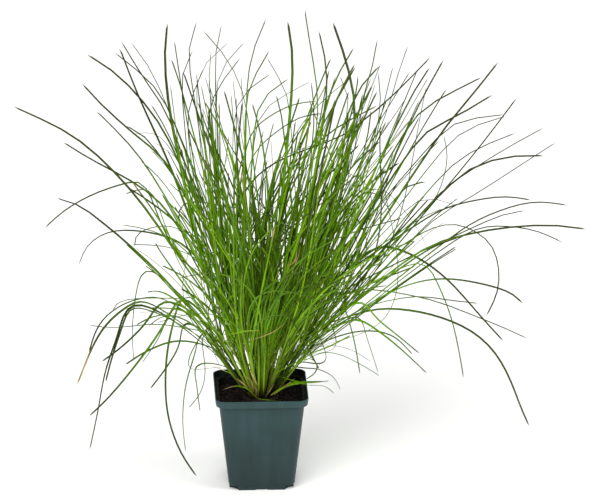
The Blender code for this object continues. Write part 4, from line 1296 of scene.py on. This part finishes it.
def make_crown(chance):
    """The root crown: a low cushion, covered in the dead bases of old leaves."""
    deselect()
    bpy.ops.mesh.primitive_cylinder_add(
        vertices=48,
        radius=CROWN_RADIUS - GAP,
        depth=CROWN_TOP - CROWN_LOW,
        location=(0, 0, (CROWN_TOP + CROWN_LOW) / 2),
    )
    crown = new_piece("crown_cushion")
    bpy.ops.object.mode_set(mode="EDIT")
    choose("FACE", lambda place: place.z > CROWN_TOP - MM)
    for _ in range(CROWN_RINGS):
        bpy.ops.mesh.inset(thickness=3 * MM)
    bpy.ops.object.mode_set(mode="OBJECT")
    for vert in crown.data.vertices:
        if vert.co.z > CROWN_TOP - MM:
            share = vert.co.xy.length / CROWN_RADIUS
            vert.co.z -= CROWN_DOME * share**4
            vert.co.z -= CROWN_ROUGH * abs(noise.noise(vert.co / CROWN_ROUGH_SIZE))
    smooth(crown, 50)
    set_looks(crown, 0)
    look = old_sheath()
    crown.data.materials.append(look)
    strip = blade_pattern("old_strip", 6, blade_width)
    strip.data.materials.append(look)
    strips = []
    for number in range(STRIPS):
        share = math.sqrt((number + 0.5) / STRIPS)
        azimuth = number * GOLDEN_ANGLE + chance.gauss(0, 0.2)
        outward = Vector((math.cos(azimuth), math.sin(azimuth), 0))
        lean = STEM_LEAN * share * chance.uniform(*STRIP_LEANS)
        up = outward * math.sin(lean) + Vector((0, 0, math.cos(lean)))
        base = outward * (CROWN_RADIUS - 3 * MM) * share + Vector((0, 0, CROWN_TOP - STRIP_SINK))
        length = chance.uniform(*STRIP_LENGTHS)
        curl = outward * chance.uniform(*STRIP_CURLS) + Vector((0, 0, -0.1))
        route = [base + up * length * s + curl * length * s * s for s in (0, 0.35, 0.7, 1)]
        inner = -outward * math.cos(lean) + Vector((0, 0, math.sin(lean)))
        piece = copy_of(strip, "old_strip")
        bend(piece, route, chance.uniform(*STRIP_WIDTHS), chance.gauss(0, TWIST), 0, inner)
        set_looks(piece, chance.random() ** 3)
        strips.append(piece)
    put_away(strip)
    return joined("crown_sheaths", [crown, *strips])


# Stage


def make_stage():
    deselect()
    bpy.ops.mesh.primitive_plane_add(size=FLOOR_SIZE)
    floor = new_piece("studio_floor")
    floor.data.materials.append(studio_floor())
    bpy.ops.object.camera_add()
    camera = bpy.context.object
    turn = VIEW_AXES @ Matrix.Rotation(math.pi / 2, 3, "X")
    place = VIEW_AXES @ Vector((AIM_ACROSS, -VIEW_DISTANCE, AIM_UP))
    camera.matrix_world = Matrix.Translation(place) @ turn.to_4x4()
    camera.data.sensor_width = SENSOR
    camera.data.lens = SENSOR * VIEW_DISTANCE / VIEW_WIDTH
    camera.data.clip_end = 60
    bpy.context.scene.camera = camera
    for at, size, power in LAMPS:
        bpy.ops.object.light_add(type="AREA", location=at)
        lamp = bpy.context.object
        lamp.data.size = size
        lamp.data.energy = power
        lamp.rotation_euler = (Vector(LAMPS_AIM) - Vector(at)).to_track_quat("-Z", "Y").to_euler()
    world = bpy.data.worlds.new("white_studio")
    world.use_nodes = True
    background = world.node_tree.nodes["Background"]
    background.inputs["Color"].default_value = (1, 1, 1, 1)
    background.inputs["Strength"].default_value = WORLD_LIGHT
    bpy.context.scene.world = world
    bpy.context.scene.view_settings.view_transform = "Standard"


def main():
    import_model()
    make_stage()
    chance = random.Random(FINE_SEED)
    pot = make_pot()
    pot.data.materials.clear()
    pot.data.materials.append(pot_plastic())
    pot.data.materials.append(dark_inner_plastic())  # on faces that look inwards or up
    for face in pot.data.polygons:
        inward = face.normal.xy.dot(face.center.xy) < -0.5 * MM or face.normal.z > 0.5
        inside = BODY_LOW_Z + WALL < face.center.z < POT_HEIGHT - 0.8 * MM
        face.material_index = int(inward and inside)
    soil = make_soil(chance)
    soil.data.materials.clear()
    soil.data.materials.append(peat())
    crown = make_crown(chance)
    for piece, node, slot in (
        (pot, "pot", "pot_plastic"),
        (soil, "potting_soil", "peat"),
        (crown, "root_crown", "old_sheaths"),
    ):
        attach(piece, "root")
        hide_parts(node)
    clump = Clump()
    clump.lay_seen()
    clump.lay_grown()
    make_shoots(clump, chance)


main()
